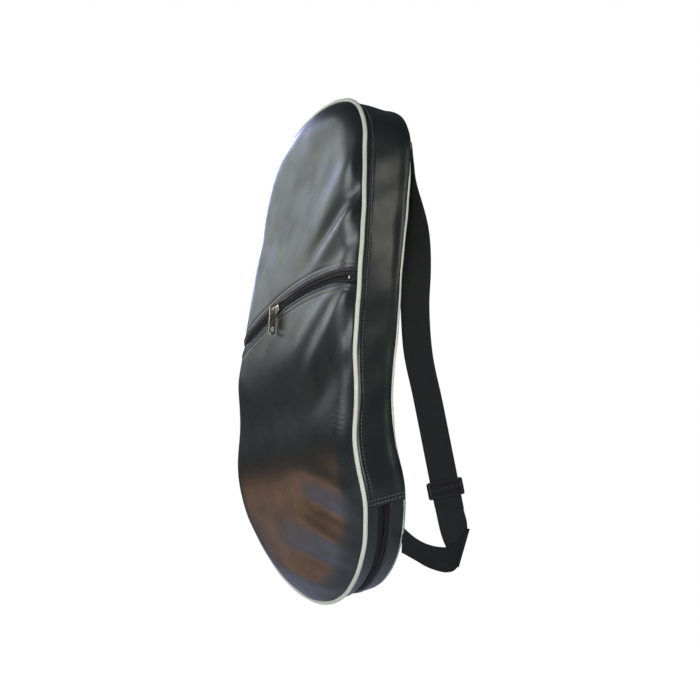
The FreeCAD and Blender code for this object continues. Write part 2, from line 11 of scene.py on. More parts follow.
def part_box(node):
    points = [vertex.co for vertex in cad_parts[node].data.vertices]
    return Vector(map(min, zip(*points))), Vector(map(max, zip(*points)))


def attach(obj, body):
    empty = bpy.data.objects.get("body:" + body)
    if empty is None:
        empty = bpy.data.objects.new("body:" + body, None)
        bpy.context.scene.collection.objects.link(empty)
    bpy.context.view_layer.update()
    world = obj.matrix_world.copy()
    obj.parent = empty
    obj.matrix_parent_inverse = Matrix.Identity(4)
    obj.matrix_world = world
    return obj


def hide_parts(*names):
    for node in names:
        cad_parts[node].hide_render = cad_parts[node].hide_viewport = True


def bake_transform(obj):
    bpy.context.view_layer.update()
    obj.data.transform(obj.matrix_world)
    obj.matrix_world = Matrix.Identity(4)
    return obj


bl_info = {
    "name": "Racket cover",
    "version": (1, 0, 0),
    "blender": (4, 5, 0),
    "location": "View3D > Sidebar > Cover",
    "description": "Builds a padded racket cover with its zips and carrying strap",
    "category": "Object",
}

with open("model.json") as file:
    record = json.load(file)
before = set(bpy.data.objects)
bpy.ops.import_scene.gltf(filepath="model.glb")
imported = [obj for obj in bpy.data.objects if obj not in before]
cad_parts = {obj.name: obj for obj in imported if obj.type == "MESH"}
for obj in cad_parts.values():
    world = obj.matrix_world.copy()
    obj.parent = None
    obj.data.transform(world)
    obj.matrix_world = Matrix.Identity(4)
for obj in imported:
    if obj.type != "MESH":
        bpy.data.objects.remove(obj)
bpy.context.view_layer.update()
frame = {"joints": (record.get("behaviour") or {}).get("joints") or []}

# The cover is laid out flat and then bent, as a sewing pattern would be. In the flat
# pattern "across" runs over its width, "depth" is 0 at the front piping and grows to the
# back, and "up" is measured from the foot. All of these are in millimetres.
LENGTH = 495.0
HALF = 139.0
FOOT_R = 148.0
SHOULDER_R = 1000.0
CORNER_R = 75.0
HEAD_R = 204.0
BEND_START = 110.0
BEND_END = 210.0
BEND = math.radians(22.5)
BEND_R = (BEND_END - BEND_START) / BEND
TILT = math.radians(16.0)
DEPTH = 41.0
MOUTH = 62.0
FOOT_ZIP_TOP = 81.0
FOOT_ZIP_DEPTH = 20.5
ZIP_R = 501.0
ZIP_ACROSS = 49.0
ZIP_UP = -202.0
ZIP_OPENING = 5.0
BAR_HEIGHT = 6.7
RIM_TUCK = 1.3
LINING_INSET = 5.0
FACING = 5.0

# The strap hangs free, so it is set out level: height, across, back and turn.
STRAP = (
    (430.0, 90.0, 39.6, 0.0),
    (408.0, 94.0, 38.6, 4.0),
    (385.0, 99.0, 37.5, 12.0),
    (345.0, 106.0, 40.5, 42.0),
    (305.0, 110.0, 40.0, 75.0),
    (270.0, 110.0, 39.5, 90.0),
    (226.0, 110.0, 42.5, 90.0),
    (184.0, 110.0, 52.0, 90.0),
    (140.0, 110.0, 61.5, 90.0),
    (84.0, 110.0, 73.5, 90.0),
)


# ---- where the pattern lies ------------------------------------------------------------

def joint(name):
    return next(j for j in frame["joints"] if j["name"] == name)


def tilted(across, back, high):
    return Vector((
        across,
        back * math.cos(TILT) - high * math.sin(TILT),
        back * math.sin(TILT) + high * math.cos(TILT),
    ))


FOLD = Vector(joint("mouth_flap_fold")["pos_m"]) * 1000.0
FOOT = FOLD - tilted(0.0, -10.0, MOUTH)


def smooth(low, high, value):
    t = np.clip((np.asarray(value, float) - low) / (high - low), 0.0, 1.0)
    return t * t * (3.0 - 2.0 * t)


def gusset_share(up):
    """How wide the gusset is at a height, as a share of its even width."""
    return 1.0 + 0.19 * smooth(290.0, 460.0, up)


def front_sag(up):
    """How far the front piping sits back where the cover bends, in millimetres."""
    return 6.0 * np.exp(-((np.asarray(up, float) - 185.0) / 34.0) ** 2)


def placed(points):
    """Flat pattern points (across, depth, up) in millimetres, to the row frame in metres."""
    p = np.asarray(points, float).reshape(-1, 3)
    across, depth, up = p[:, 0], p[:, 1], p[:, 2]
    crown = np.minimum(depth, 0.0)
    within = np.clip(depth, 0.0, DEPTH)
    depth = crown + within * gusset_share(up) + np.maximum(depth - DEPTH, 0.0)
    depth += front_sag(up) * (1.0 - within / DEPTH)
    turn = np.clip((up - BEND_START) / BEND_R, 0.0, BEND)
    past = np.maximum(up - BEND_END, 0.0)
    foot = np.minimum(up, BEND_START)
    back = BEND_R - (BEND_R - depth) * np.cos(turn) + past * np.sin(turn)
    high = foot + (BEND_R - depth) * np.sin(turn) + past * np.cos(turn)
    y = back * math.cos(TILT) - high * math.sin(TILT) + FOOT.y
    z = back * math.sin(TILT) + high * math.cos(TILT) + FOOT.z
    return np.stack([across + FOOT.x, y, z], axis=1) / 1000.0


def hung(points):
    """Points set out level from the foot, in millimetres, to the row frame in metres."""
    p = np.asarray(points, float).reshape(-1, 3)
    return (p + np.array(FOOT)) / 1000.0


# ---- the outline -----------------------------------------------------------------------

def arc(cx, cz, radius, start, end, count):
    angles = np.linspace(start, end, count, endpoint=False)
    return np.stack([cx + radius * np.cos(angles), cz + radius * np.sin(angles)], axis=1)


def heading(a, b):
    return math.atan2(b[1] - a[1], b[0] - a[0])


def raw_outline():
    low_r = (HALF ** 2 + BEND_START ** 2 - 2 * BEND_START * FOOT_R) / (2 * (HALF - FOOT_R))
    low = (HALF - low_r, BEND_START)
    foot = (0.0, FOOT_R)
    side = (HALF - SHOULDER_R, BEND_END)
    head = (0.0, LENGTH - HEAD_R)
    a, b = SHOULDER_R - CORNER_R, HEAD_R - CORNER_R
    gap = math.hypot(head[0] - side[0], head[1] - side[1])
    along = (a * a - b * b + gap * gap) / (2 * gap)
    off = math.sqrt(a * a - along * along)
    ux, uz = (head[0] - side[0]) / gap, (head[1] - side[1]) / gap
    top = (side[0] + ux * along - uz * off, side[1] + uz * along + ux * off)
    right = [
        arc(*foot, FOOT_R, -math.pi / 2, heading(foot, low), 200),
        arc(*low, low_r, heading(foot, low), 0.0, 40),
        np.stack([np.full(60, HALF), np.linspace(BEND_START, BEND_END, 60, False)], axis=1),
        arc(*side, SHOULDER_R, 0.0, heading(side, top), 120),
        arc(*top, CORNER_R, heading(side, top), heading(head, top), 90),
        arc(*head, HEAD_R, heading(head, top), math.pi / 2, 60),
    ]
    right = np.concatenate(right)
    apex = np.array([[0.0, LENGTH]])
    left = right[1:][::-1] * np.array([-1.0, 1.0])
    return np.concatenate([right, apex, left])


def run_along(line):
    """How far along a line each of its points is."""
    return np.concatenate([[0.0], np.cumsum(np.linalg.norm(np.diff(line, axis=0), axis=1))])


def evenly(points, count, closed=True):
    """The same line, with its points an even distance apart."""
    line = np.asarray(points, float)
    if closed:
        line = np.concatenate([line, line[:1]])
    run = run_along(line)
    want = np.linspace(0.0, run[-1], count, endpoint=not closed)
    return np.stack([np.interp(want, run, line[:, k]) for k in range(line.shape[1])], axis=1)


def spline(points, count=60):
    """A smooth line through the given points."""
    p = np.asarray(points, float)
    slopes = np.gradient(p, axis=0)
    want = np.linspace(0, len(p) - 1, count)
    low = np.clip(want.astype(int), 0, len(p) - 2)
    t = (want - low)[:, None]
    a, b, ma, mb = p[low], p[low + 1], slopes[low], slopes[low + 1]
    return ((2 * t ** 3 - 3 * t ** 2 + 1) * a + (t ** 3 - 2 * t ** 2 + t) * ma
            + (-2 * t ** 3 + 3 * t ** 2) * b + (t ** 3 - t ** 2) * mb)


OUTLINE = evenly(raw_outline(), 720)


def directions(line, closed):
    """The unit direction of a line at each of its points."""
    if closed:
        along = np.roll(line, -1, axis=0) - np.roll(line, 1, axis=0)
    else:
        along = np.gradient(line, axis=0)
    return along / np.linalg.norm(along, axis=1)[:, None]


def inward_of(line, closed=True):
    """Which way is inwards at each point of a line round the cover."""
    along = directions(line, closed)
    return np.stack([-along[:, 1], along[:, 0]], axis=1)


def inset_line(line, inset):
    """A closed line moved inwards."""
    return line + inward_of(line) * inset


def kept_run(line, keep):
    """The unbroken run of a closed line whose points are kept."""
    start = next(k for k in range(len(line)) if keep[k] and not keep[k - 1])
    return line[[(start + k) % len(line) for k in range(int(keep.sum()))]]


def laid(flat, depth):
    """Pattern points (across, up) set at one depth, or at one each, in the row frame."""
    level = np.broadcast_to(np.asarray(depth, float), (len(flat),))
    return placed(np.stack([flat[:, 0], level, flat[:, 1]], axis=1))


def rim_distance(points):
    """How far points of a face are from the piping."""
    found = np.full(len(points), 1e9)
    for k in range(0, len(OUTLINE), 2):
        off = points - OUTLINE[k]
        found = np.minimum(found, np.hypot(off[:, 0], off[:, 1]))
    return found


def zip_rise(across, change=0.0):
    return ZIP_UP + np.sqrt((ZIP_R + change) ** 2 - (np.asarray(across) - ZIP_ACROSS) ** 2)


# ---- small tools ------------------------------------------------------------------------

def new_piece(name, verts, faces, material):
    mesh = bpy.data.meshes.new(name)
    mesh.from_pydata([tuple(v) for v in verts], [], [tuple(f) for f in faces])
    mesh.update()
    obj = bpy.data.objects.new(name, mesh)
    bpy.context.scene.collection.objects.link(obj)
    mesh.materials.append(material)
    mesh.polygons.foreach_set("use_smooth", [True] * len(mesh.polygons))
    return obj


def map_weave(obj, columns, uv_of):
    """Lays a UV map over a grid piece; uv_of takes a vertex's row and column."""
    layer = obj.data.uv_layers.new(name="weave")
    for loop in obj.data.loops:
        layer.data[loop.index].uv = uv_of(*divmod(loop.vertex_index, columns))


def cleaned(obj, merge=1e-6):
    """Merges doubles and turns every face outwards."""
    bm = bmesh.new()
    bm.from_mesh(obj.data)
    bmesh.ops.remove_doubles(bm, verts=bm.verts, dist=merge)
    bmesh.ops.dissolve_degenerate(bm, edges=bm.edges, dist=merge)
    bmesh.ops.recalc_face_normals(bm, faces=bm.faces)
    bm.to_mesh(obj.data)
    bm.free()
    obj.data.update()
    return obj


def finished(obj):
    """Applies every modifier, so that the mesh is what rides."""
    graph = bpy.context.evaluated_depsgraph_get()
    mesh = bpy.data.meshes.new_from_object(obj.evaluated_get(graph))
    obj.modifiers.clear()
    obj.data = mesh
    return obj


def grid_faces(rows, columns, closed_rows=False, closed_columns=False):
    faces = []
    for i in range(rows if closed_rows else rows - 1):
        for j in range(columns if closed_columns else columns - 1):
            a, b = i % rows, (i + 1) % rows
            c, d = j % columns, (j + 1) % columns
            faces.append((a * columns + c, a * columns + d, b * columns + d, b * columns + c))
    return faces


def tube(name, line, radius, material, sides=12, closed=False):
    """A round cord along a line of row-frame points; radius is in metres."""
    p = np.asarray(line, float)
    count = len(p)
    along = directions(p, closed)
    level = np.cross(along, np.array([0.31, 0.82, 0.47]))
    level /= np.linalg.norm(level, axis=1)[:, None]
    third = np.cross(along, level)
    verts = []
    for i in range(count):
        for j in range(sides):
            a = 2 * math.pi * j / sides
            verts.append(p[i] + radius * (math.cos(a) * level[i] + math.sin(a) * third[i]))
    faces = grid_faces(count, sides, closed_rows=closed, closed_columns=True)
    if not closed:
        faces.append(tuple(range(sides)))
        faces.append(tuple((count - 1) * sides + k for k in range(sides)))
    return cleaned(new_piece(name, verts, faces, material), 1e-7)


# ---- finishes ---------------------------------------------------------------------------

class Finish:
    """A procedural material under construction: a Principled shader and its nodes."""

    def __init__(self, name, color, roughness, **constants):
        self.material = bpy.data.materials.new(name)
        self.material.use_nodes = True
        self.tree = self.material.node_tree
        self.shader = self.tree.nodes["Principled BSDF"]
        self.color = (*color[:3], 1.0)
        self.shader.inputs["Base Color"].default_value = self.color
        self.shader.inputs["Roughness"].default_value = roughness
        for key, value in constants.items():
            self.shader.inputs[key.replace("_", " ")].default_value = value
        self.place = self.tree.nodes.new("ShaderNodeTexCoord")
        self.height = None

    def node(self, kind, **inputs):
        made = self.tree.nodes.new(kind)
        for key, value in inputs.items():
            made.inputs[key].default_value = value
        return made

    def join(self, output, target):
        self.tree.links.new(output, target)

    def stretched(self, scale, coordinates="Object"):
        made = self.node("ShaderNodeMapping")
        made.inputs["Scale"].default_value = scale
        self.join(self.place.outputs[coordinates], made.inputs["Vector"])
        return made.outputs["Vector"]

    def noise(self, scale, detail=4.0, vector=None, rough=0.55):
        made = self.node("ShaderNodeTexNoise", Scale=scale, Detail=detail, Roughness=rough)
        self.join(vector or self.place.outputs["Object"], made.inputs["Vector"])
        return made.outputs["Fac"]

    def cells(self, scale):
        made = self.node("ShaderNodeTexVoronoi", Scale=scale)
        made.feature = "DISTANCE_TO_EDGE"
        self.join(self.place.outputs["Object"], made.inputs["Vector"])
        return made.outputs["Distance"]

    def waves(self, scale, direction, vector, distortion=0.0):
        made = self.node("ShaderNodeTexWave", Scale=scale, Distortion=distortion, Detail=1.0)
        made.wave_type = "BANDS"
        made.bands_direction = direction
        self.join(vector, made.inputs["Vector"])
        return made.outputs["Fac"]

    def spread(self, factor, low, high, start=0.3, end=0.7):
        made = self.node("ShaderNodeMapRange")
        for key, value in (("From Min", start), ("From Max", end), ("To Min", low), ("To Max", high)):
            made.inputs[key].default_value = value
        self.join(factor, made.inputs["Value"])
        return made.outputs["Result"]

    def tint(self, factor, dark, light, start=0.3, end=0.7):
        made = self.node("ShaderNodeValToRGB")
        stops = made.color_ramp.elements
        stops[0].position, stops[1].position = start, end
        stops[0].color, stops[1].color = (*dark, 1.0), (*light, 1.0)
        self.join(factor, made.inputs["Fac"])
        self.join(made.outputs["Color"], self.shader.inputs["Base Color"])

    def gloss(self, factor, low, high):
        self.join(self.spread(factor, low, high), self.shader.inputs["Roughness"])

    def relief(self, factor, strength, distance):
        """One more layer of surface relief; distance is in metres."""
        made = self.node("ShaderNodeBump", Strength=strength, Distance=distance)
        self.join(factor, made.inputs["Height"])
        if self.height:
            self.join(self.height, made.inputs["Normal"])
        self.height = made.outputs["Normal"]
        self.join(self.height, self.shader.inputs["Normal"])


def shade(color, factor):
    return tuple(min(1.0, c * factor) for c in color[:3])


def leather_finish(name, color):
    made = Finish(name, color, 0.36, Specular_IOR_Level=0.62, Coat_Weight=0.12, Coat_Roughness=0.3)
    cloudy = made.noise(14.0)
    made.tint(cloudy, shade(color, 0.82), shade(color, 1.25))
    made.gloss(made.noise(38.0), 0.31, 0.43)
    made.relief(made.cells(620.0), 0.22, 0.00018)
    made.relief(made.noise(1500.0, 3.0), 0.16, 0.00012)
    creases = made.noise(60.0, 6.0, made.stretched((1.0, 1.0, 5.0)), 0.62)
    made.relief(creases, 0.10, 0.0009)
    return made.material


def piping_finish(color):
    made = Finish("cream_piping", color, 0.42, Specular_IOR_Level=0.5)
    made.tint(made.noise(24.0), shade(color, 0.88), shade(color, 1.04))
    made.gloss(made.noise(160.0), 0.36, 0.5)
    made.relief(made.noise(900.0), 0.12, 0.0002)
    return made.material


def woven_finish(name, color, across, along, sheen=0.3, roughness=0.62):
    """Plain weave laid along the piece's own UV map."""
    made = Finish(name, color, roughness, Sheen_Weight=sheen, Sheen_Roughness=0.4)
    warp = made.waves(1.0, "X", made.stretched((across, along, 1.0), "UV"))
    weft = made.waves(1.0, "Y", made.stretched((across, along, 1.0), "UV"))
    made.tint(made.noise(70.0), shade(color, 0.75), shade(color, 1.3))
    made.relief(warp, 0.5, 0.00025)
    made.relief(weft, 0.35, 0.0002)
    return made.material


def cloth_finish(name, color, scale=420.0):
    made = Finish(name, color, 0.85, Sheen_Weight=0.25, Sheen_Roughness=0.5)
    made.tint(made.noise(50.0), shade(color, 0.8), shade(color, 1.2))
    made.relief(made.waves(scale, "X", made.place.outputs["Object"]), 0.3, 0.0002)
    made.relief(made.waves(scale, "Z", made.place.outputs["Object"]), 0.3, 0.0002)
    return made.material


def nickel_finish(color):
    made = Finish("bright_nickel", color, 0.26, Metallic=1.0)
    made.tint(made.noise(220.0), shade(color, 0.8), shade(color, 1.1))
    made.gloss(made.noise(500.0), 0.2, 0.38)
    made.relief(made.noise(700.0), 0.08, 0.0001)
    return made.material


def moulded_finish(name, color, roughness=0.4):
    made = Finish(name, color, roughness)
    made.tint(made.noise(120.0), shade(color, 0.8), shade(color, 1.25))
    made.gloss(made.noise(300.0), roughness - 0.06, roughness + 0.1)
    made.relief(made.noise(1400.0), 0.12, 0.00012)
    return made.material


def thread_finish(color):
    made = Finish("sewing_thread", color, 0.6, Sheen_Weight=0.2)
    made.tint(made.noise(900.0), shade(color, 0.7), shade(color, 1.3))
    made.relief(made.waves(1600.0, "DIAGONAL", made.place.outputs["Object"]), 0.4, 0.0001)
    return made.material


# ---- rows of small things ---------------------------------------------------------------

def row_tree():
    """Beads set evenly along an edge line: stitches, and the turns of a zip's coil."""
    tree = bpy.data.node_groups.new("bead_row", "GeometryNodeTree")
    face = tree.interface
    face.new_socket("Geometry", in_out="INPUT", socket_type="NodeSocketGeometry")
    for label in ("Pitch", "Length", "Width", "Height", "Variation"):
        face.new_socket(label, in_out="INPUT", socket_type="NodeSocketFloat")
    face.new_socket("Finish", in_out="INPUT", socket_type="NodeSocketMaterial")
    face.new_socket("Geometry", in_out="OUTPUT", socket_type="NodeSocketGeometry")
    new, link = tree.nodes.new, tree.links.new
    given, result = new("NodeGroupInput"), new("NodeGroupOutput")
    curve = new("GeometryNodeMeshToCurve")
    points = new("GeometryNodeCurveToPoints")
    points.mode = "LENGTH"
    link(given.outputs["Geometry"], curve.inputs["Mesh"])
    link(curve.outputs["Curve"], points.inputs["Curve"])
    link(given.outputs["Pitch"], points.inputs["Length"])
    facing = new("GeometryNodeInputNamedAttribute")
    facing.data_type = "FLOAT_VECTOR"
    facing.inputs["Name"].default_value = "facing"
    along = new("FunctionNodeAlignRotationToVector")
    along.axis = "X"
    link(points.outputs["Tangent"], along.inputs["Vector"])
    outward = new("FunctionNodeAlignRotationToVector")
    outward.axis = "Z"
    outward.pivot_axis = "X"
    link(along.outputs["Rotation"], outward.inputs["Rotation"])
    link(facing.outputs["Attribute"], outward.inputs["Vector"])
    bead = new("GeometryNodeMeshUVSphere")
    bead.inputs["Segments"].default_value = 7
    bead.inputs["Rings"].default_value = 5
    bead.inputs["Radius"].default_value = 0.5
    size = new("ShaderNodeCombineXYZ")
    for axis, label in zip("XYZ", ("Length", "Width", "Height")):
        link(given.outputs[label], size.inputs[axis])
    shaped = new("GeometryNodeTransform")
    link(bead.outputs["Mesh"], shaped.inputs["Geometry"])
    link(size.outputs["Vector"], shaped.inputs["Scale"])
    uneven = new("FunctionNodeRandomValue")
    uneven.data_type = "FLOAT"
    least, most = new("ShaderNodeMath"), new("ShaderNodeMath")
    least.operation, most.operation = "SUBTRACT", "ADD"
    for sum_node, socket in ((least, "Min"), (most, "Max")):
        sum_node.inputs[0].default_value = 1.0
        link(given.outputs["Variation"], sum_node.inputs[1])
        target = next(s for s in uneven.inputs if s.name == socket and s.type == "VALUE")
        link(sum_node.outputs[0], target)
    uneven.inputs["Seed"].default_value = 7
    placed_beads = new("GeometryNodeInstanceOnPoints")
    link(points.outputs["Points"], placed_beads.inputs["Points"])
    link(shaped.outputs["Geometry"], placed_beads.inputs["Instance"])
    link(outward.outputs["Rotation"], placed_beads.inputs["Rotation"])
    value = next(s for s in uneven.outputs if s.type == "VALUE")
    link(value, placed_beads.inputs["Scale"])
    real = new("GeometryNodeRealizeInstances")
    soft = new("GeometryNodeSetShadeSmooth")
    coat = new("GeometryNodeSetMaterial")
    link(placed_beads.outputs["Instances"], real.inputs["Geometry"])
    link(real.outputs["Geometry"], soft.inputs["Geometry"])
    link(soft.outputs["Geometry"], coat.inputs["Geometry"])
    link(given.outputs["Finish"], coat.inputs["Material"])
    link(coat.outputs["Geometry"], result.inputs["Geometry"])
    return tree


def bead_row(name, runs, pitch, length, width, height, material, variation=0.06):
    """Runs are (points, facings) pairs in the row frame; the sizes are in millimetres."""
    verts, edges, facings = [], [], []
    for line, facing in runs:
        first = len(verts)
        verts += [tuple(p) for p in line]
        facings += [tuple(f) for f in facing]
        edges += [(first + k, first + k + 1) for k in range(len(line) - 1)]
    mesh = bpy.data.meshes.new(name)
    mesh.from_pydata(verts, edges, [])
    store = mesh.attributes.new("facing", "FLOAT_VECTOR", "POINT")
    store.data.foreach_set("vector", np.asarray(facings, np.float32).ravel())
    obj = bpy.data.objects.new(name, mesh)
    bpy.context.scene.collection.objects.link(obj)
    tree = bpy.data.node_groups.get("bead_row") or row_tree()
    modifier = obj.modifiers.new("row", "NODES")
    modifier.node_group = tree
    given = {
        "Pitch": pitch / 1000.0, "Length": length / 1000.0, "Width": width / 1000.0,
        "Height": height / 1000.0, "Variation": variation, "Finish": material,
    }
    for item in tree.interface.items_tree:
        if item.in_out == "INPUT" and item.name in given:
            modifier[item.identifier] = given[item.name]
    return finished(obj)


# ---- the soft faces ---------------------------------------------------------------------

# Broad folds of the front, each from one point to another: across and up at both ends,
# half its width and how far it stands out.
FRONT_FOLDS = (
    (150, 434, 0, 326, 17, 2.5),
    (150, 398, 16, 314, 9, -2.1),
    (150, 372, 20, 304, 9, 1.9),
    (150, 338, 50, 300, 9, -1.4),
    (70, 470, -40, 440, 16, 1.1),
    (-134, 400, -60, 330, 16, -1.3),
    (150, 296, 30, 190, 12, 2.6),
    (112, 292, 0, 222, 13, 2.0),
    (152, 262, 60, 172, 11, -1.9),
    (152, 222, 66, 180, 14, -2.2),
    (-136, 236, -40, 180, 18, 1.2),
    (150, 88, 10, 140, 12, 2.2),
    (140, 62, -10, 118, 9, -1.9),
    (124, 40, -40, 98, 9, 2.0),
    (100, 22, -70, 70, 8, -1.9),
    (72, 6, -90, 46, 8, 2.0),
)
BACK_FOLDS = (
    (130, 380, -20, 330, 18, 1.6),
    (-130, 300, 20, 250, 20, 1.4),
    (132, 210, 10, 170, 16, -1.5),
    (-130, 130, 30, 100, 16, 1.5),
    (100, 60, -20, 70, 14, -1.2),
)


def folded(points, folds):
    total = np.zeros(len(points))
    for ax, az, bx, bz, wide, high in folds:
        run = np.array([bx - ax, bz - az], float)
        length = np.linalg.norm(run)
        run /= length
        off = points - np.array([ax, az])
        along = (off @ run) / length
        aside = off @ np.array([-run[1], run[0]])
        taper = smooth(-0.15, 0.12, along) * (1.0 - smooth(0.45, 1.1, along))
        wider = wide * (0.8 + 0.6 * np.clip(along, 0, 1))
        total += high * taper * np.exp(-(aside / wider) ** 2)
    return total


def unevenness(points, amount):
    x, z = points[:, 0], points[:, 1]
    return amount * (
        0.5 * np.sin(x * 0.031 + z * 0.023 + 0.7) + 0.35 * np.sin(z * 0.052 - x * 0.044 + 1.9)
        + 0.15 * np.sin(x * 0.11 + 2.0 * np.sin(z * 0.06)))


def fine_creases(points, across, up, reach_x, reach_z, spacing, high):
    x, z = points[:, 0] - across, points[:, 1] - up
    fade = np.exp(-(x / reach_x) ** 2 - (z / reach_z) ** 2)
    wave = np.sin(2 * math.pi * (z + 2.5 * np.sin(x * 0.16)) / spacing)
    return high * fade * wave


def crown(edge, high):
    """The height of a padded face at a distance from its piping."""
    rise = np.clip(edge / sizes().edge_round, 0.0, 1.0)
    return high * (1.0 - (1.0 - rise) ** 3)


def front_height(points):
    """How far the front stands out from the piping, in millimetres."""
    edge = rim_distance(points)
    height = crown(edge, sizes().front_crown)
    calm = smooth(0.0, 11.0, edge)
    detail = folded(points, FRONT_FOLDS) + unevenness(points, 0.5)
    detail += fine_creases(points, 120, 160, 14, 17, 4.6, 0.12)
    near_zip = np.abs(points[:, 1] - zip_rise(points[:, 0]))
    calm *= 0.25 + 0.75 * smooth(4.0, 22.0, near_zip)
    return height + calm * detail


def back_height(points):
    """How far the back stands out from the piping, in millimetres."""
    edge = rim_distance(points)
    detail = folded(points, BACK_FOLDS) + unevenness(points, 0.6)
    return crown(edge, sizes().back_crown) + smooth(2.0, 18.0, edge) * detail


def star_face(name, border, centre, rings, depth_of, material, outward):
    """A face filled from its border to a middle point, laid at the depth of each point."""
    border = np.asarray(border, float)
    centre = np.asarray(centre, float)
    flat = []
    for k in range(rings):
        share = (k / rings) ** 1.25
        flat.append(border + share * (centre - border))
    flat = np.concatenate(flat + [centre[None, :]])
    verts = laid(flat, depth_of(flat))
    faces = grid_faces(rings, len(border), closed_columns=True)
    last = (rings - 1) * len(border)
    pole = len(flat) - 1
    faces += [(last + j, last + (j + 1) % len(border), pole) for j in range(len(border))]
    return turned(new_piece(name, verts, faces, material), outward)


def turned(obj, outward):
    """Flips an open sheet if its faces look the wrong way."""
    mesh = obj.data
    mesh.update()
    total = sum((p.normal * p.area for p in mesh.polygons), Vector())
    if total.dot(Vector(outward)) < 0:
        mesh.flip_normals()
    return obj


def thickened(obj, thick):
    """Gives a sheet its thickness, in millimetres, on its inner side."""
    solid = obj.modifiers.new("leather", "SOLIDIFY")
    solid.thickness = thick / 1000.0
    solid.offset = -1.0
    return finished(obj)


def zip_cut_border(upper):
    """The border of the front above or below the pocket zip, joined by the zip's arc."""
    line = inset_line(OUTLINE, RIM_TUCK)
    change = ZIP_OPENING if upper else -ZIP_OPENING
    limit = zip_rise(line[:, 0], change)
    keep = line[:, 1] > limit if upper else line[:, 1] < limit
    rim = kept_run(line, keep)
    across = np.linspace(rim[-1, 0], rim[0, 0], 150)[1:-1]
    arc_line = np.stack([across, zip_rise(across, change)], axis=1)
    return evenly(np.concatenate([rim, arc_line]), 560)


def front_depth(points):
    """The front leather: tucked under the piping, with a turned edge at the pocket zip."""
    height = front_height(points)
    edge = rim_distance(points)
    gap = np.abs(np.hypot(points[:, 0] - ZIP_ACROSS, points[:, 1] - ZIP_UP) - ZIP_R)
    turned_in = 1.5 * (1.0 - smooth(ZIP_OPENING, ZIP_OPENING + 2.2, gap))
    hem = 0.9 * np.exp(-((gap - ZIP_OPENING - 1.9) / 1.0) ** 2)
    hem -= 0.4 * np.exp(-((gap - ZIP_OPENING - 3.7) / 0.8) ** 2)
    hem -= 0.4 * np.exp(-((gap - ZIP_OPENING - 8.2) / 1.0) ** 2)
    tuck = 0.6 * (1.0 - smooth(1.0, 3.0, edge))
    return -(height - turned_in + hem) + tuck


def front_line(flat, depth):
    """Points and facings of a line at given depths in the front."""
    points = laid(flat, depth)
    return points, laid(flat, depth - FACING) - points


def front_skin_line(flat, lift):
    """Points and facings of a line that lies on the front, a little above the leather."""
    return front_line(flat, front_depth(flat) - lift)


def zip_arc(change, reach, count=260):
    """A line beside the pocket zip, from the left end to the right end."""
    across = np.linspace(-reach, reach, count)
    return evenly(np.stack([across, zip_rise(across, change)], axis=1), count, closed=False)


def foot_part(highest):
    """The run of the outline round the foot, up to a height."""
    return kept_run(OUTLINE, OUTLINE[:, 1] <= highest)


def side_part(lowest, highest, side):
    """The run of the outline between two heights on one side."""
    across, up = OUTLINE[:, 0], OUTLINE[:, 1]
    return kept_run(OUTLINE, (up >= lowest) & (up <= highest) & (across * side > 0))


def band(name, line, depths, inset_of, material):
    """A strip that follows the outline, wide in depth; inset_of gives how far in it lies."""
    inward = inward_of(line, closed=False)
    run = run_along(line)
    flat = []
    for k in range(len(line)):
        for depth in depths:
            spot = line[k] + inward[k] * inset_of(run[k], depth, line[k, 1])
            flat.append((spot[0], depth, spot[1]))
    faces = grid_faces(len(line), len(depths))
    obj = new_piece(name, placed(flat), faces, material)
    map_weave(obj, len(depths), lambda row, column: (run[row] / 1000.0, depths[column] / 1000.0))
    return away_from_middle(obj)


def away_from_middle(obj):
    """Turns a strip's faces away from the cover's middle line."""
    mesh = obj.data
    mesh.update()
    middle = Vector(placed([(0.0, 20.0, 230.0)])[0])
    side = sum((p.normal.dot(p.center - middle) * p.area for p in mesh.polygons), 0.0)
    if side < 0:
        mesh.flip_normals()
    return obj


def gusset_inset(run, depth, up):
    """The gusset's surface: a seam ridge behind the front piping and soft puckers."""
    middle = math.sin(math.pi * min(max(depth / DEPTH, 0.0), 1.0))
    ridge = 0.9 * math.exp(-((depth - 5.4) / 1.1) ** 2)
    ridge -= 0.35 * math.exp(-((depth - 7.6) / 0.9) ** 2)
    pucker = 0.8 * math.sin(run * 0.061 + 0.05 * depth)
    pucker += 0.5 * math.sin(run * 0.137 - 0.09 * depth + 1.0)
    roll = 1.5 * math.exp(-((depth - DEPTH + 3.0) / 5.0) ** 2)
    return 1.3 - ridge - roll - middle * (0.5 + 0.7 * pucker)


def outline_skin_line(line, depth, lift, inset_of):
    """Points and facings of a line on the gusset or on a strip of it."""
    inward = inward_of(line, closed=False)
    inset = [inset_of(run, depth, up) for run, up in zip(run_along(line), line[:, 1])]
    inset = np.array(inset)[:, None] - lift
    points = laid(line + inward * inset, depth)
    return points, laid(line + inward * (inset - FACING), depth) - points


def bends_at_mouth(obj, above=8.0, below=8.0):
    """Bakes a piece's placement into its mesh; the piece is not bent at the flap's fold."""
    start, end = (tuple(placed([(0.0, -10.0, up)])[0]) for up in (MOUTH + above, MOUTH - below))
    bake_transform(obj)


# ---- what a user may change ---------------------------------------------------------------

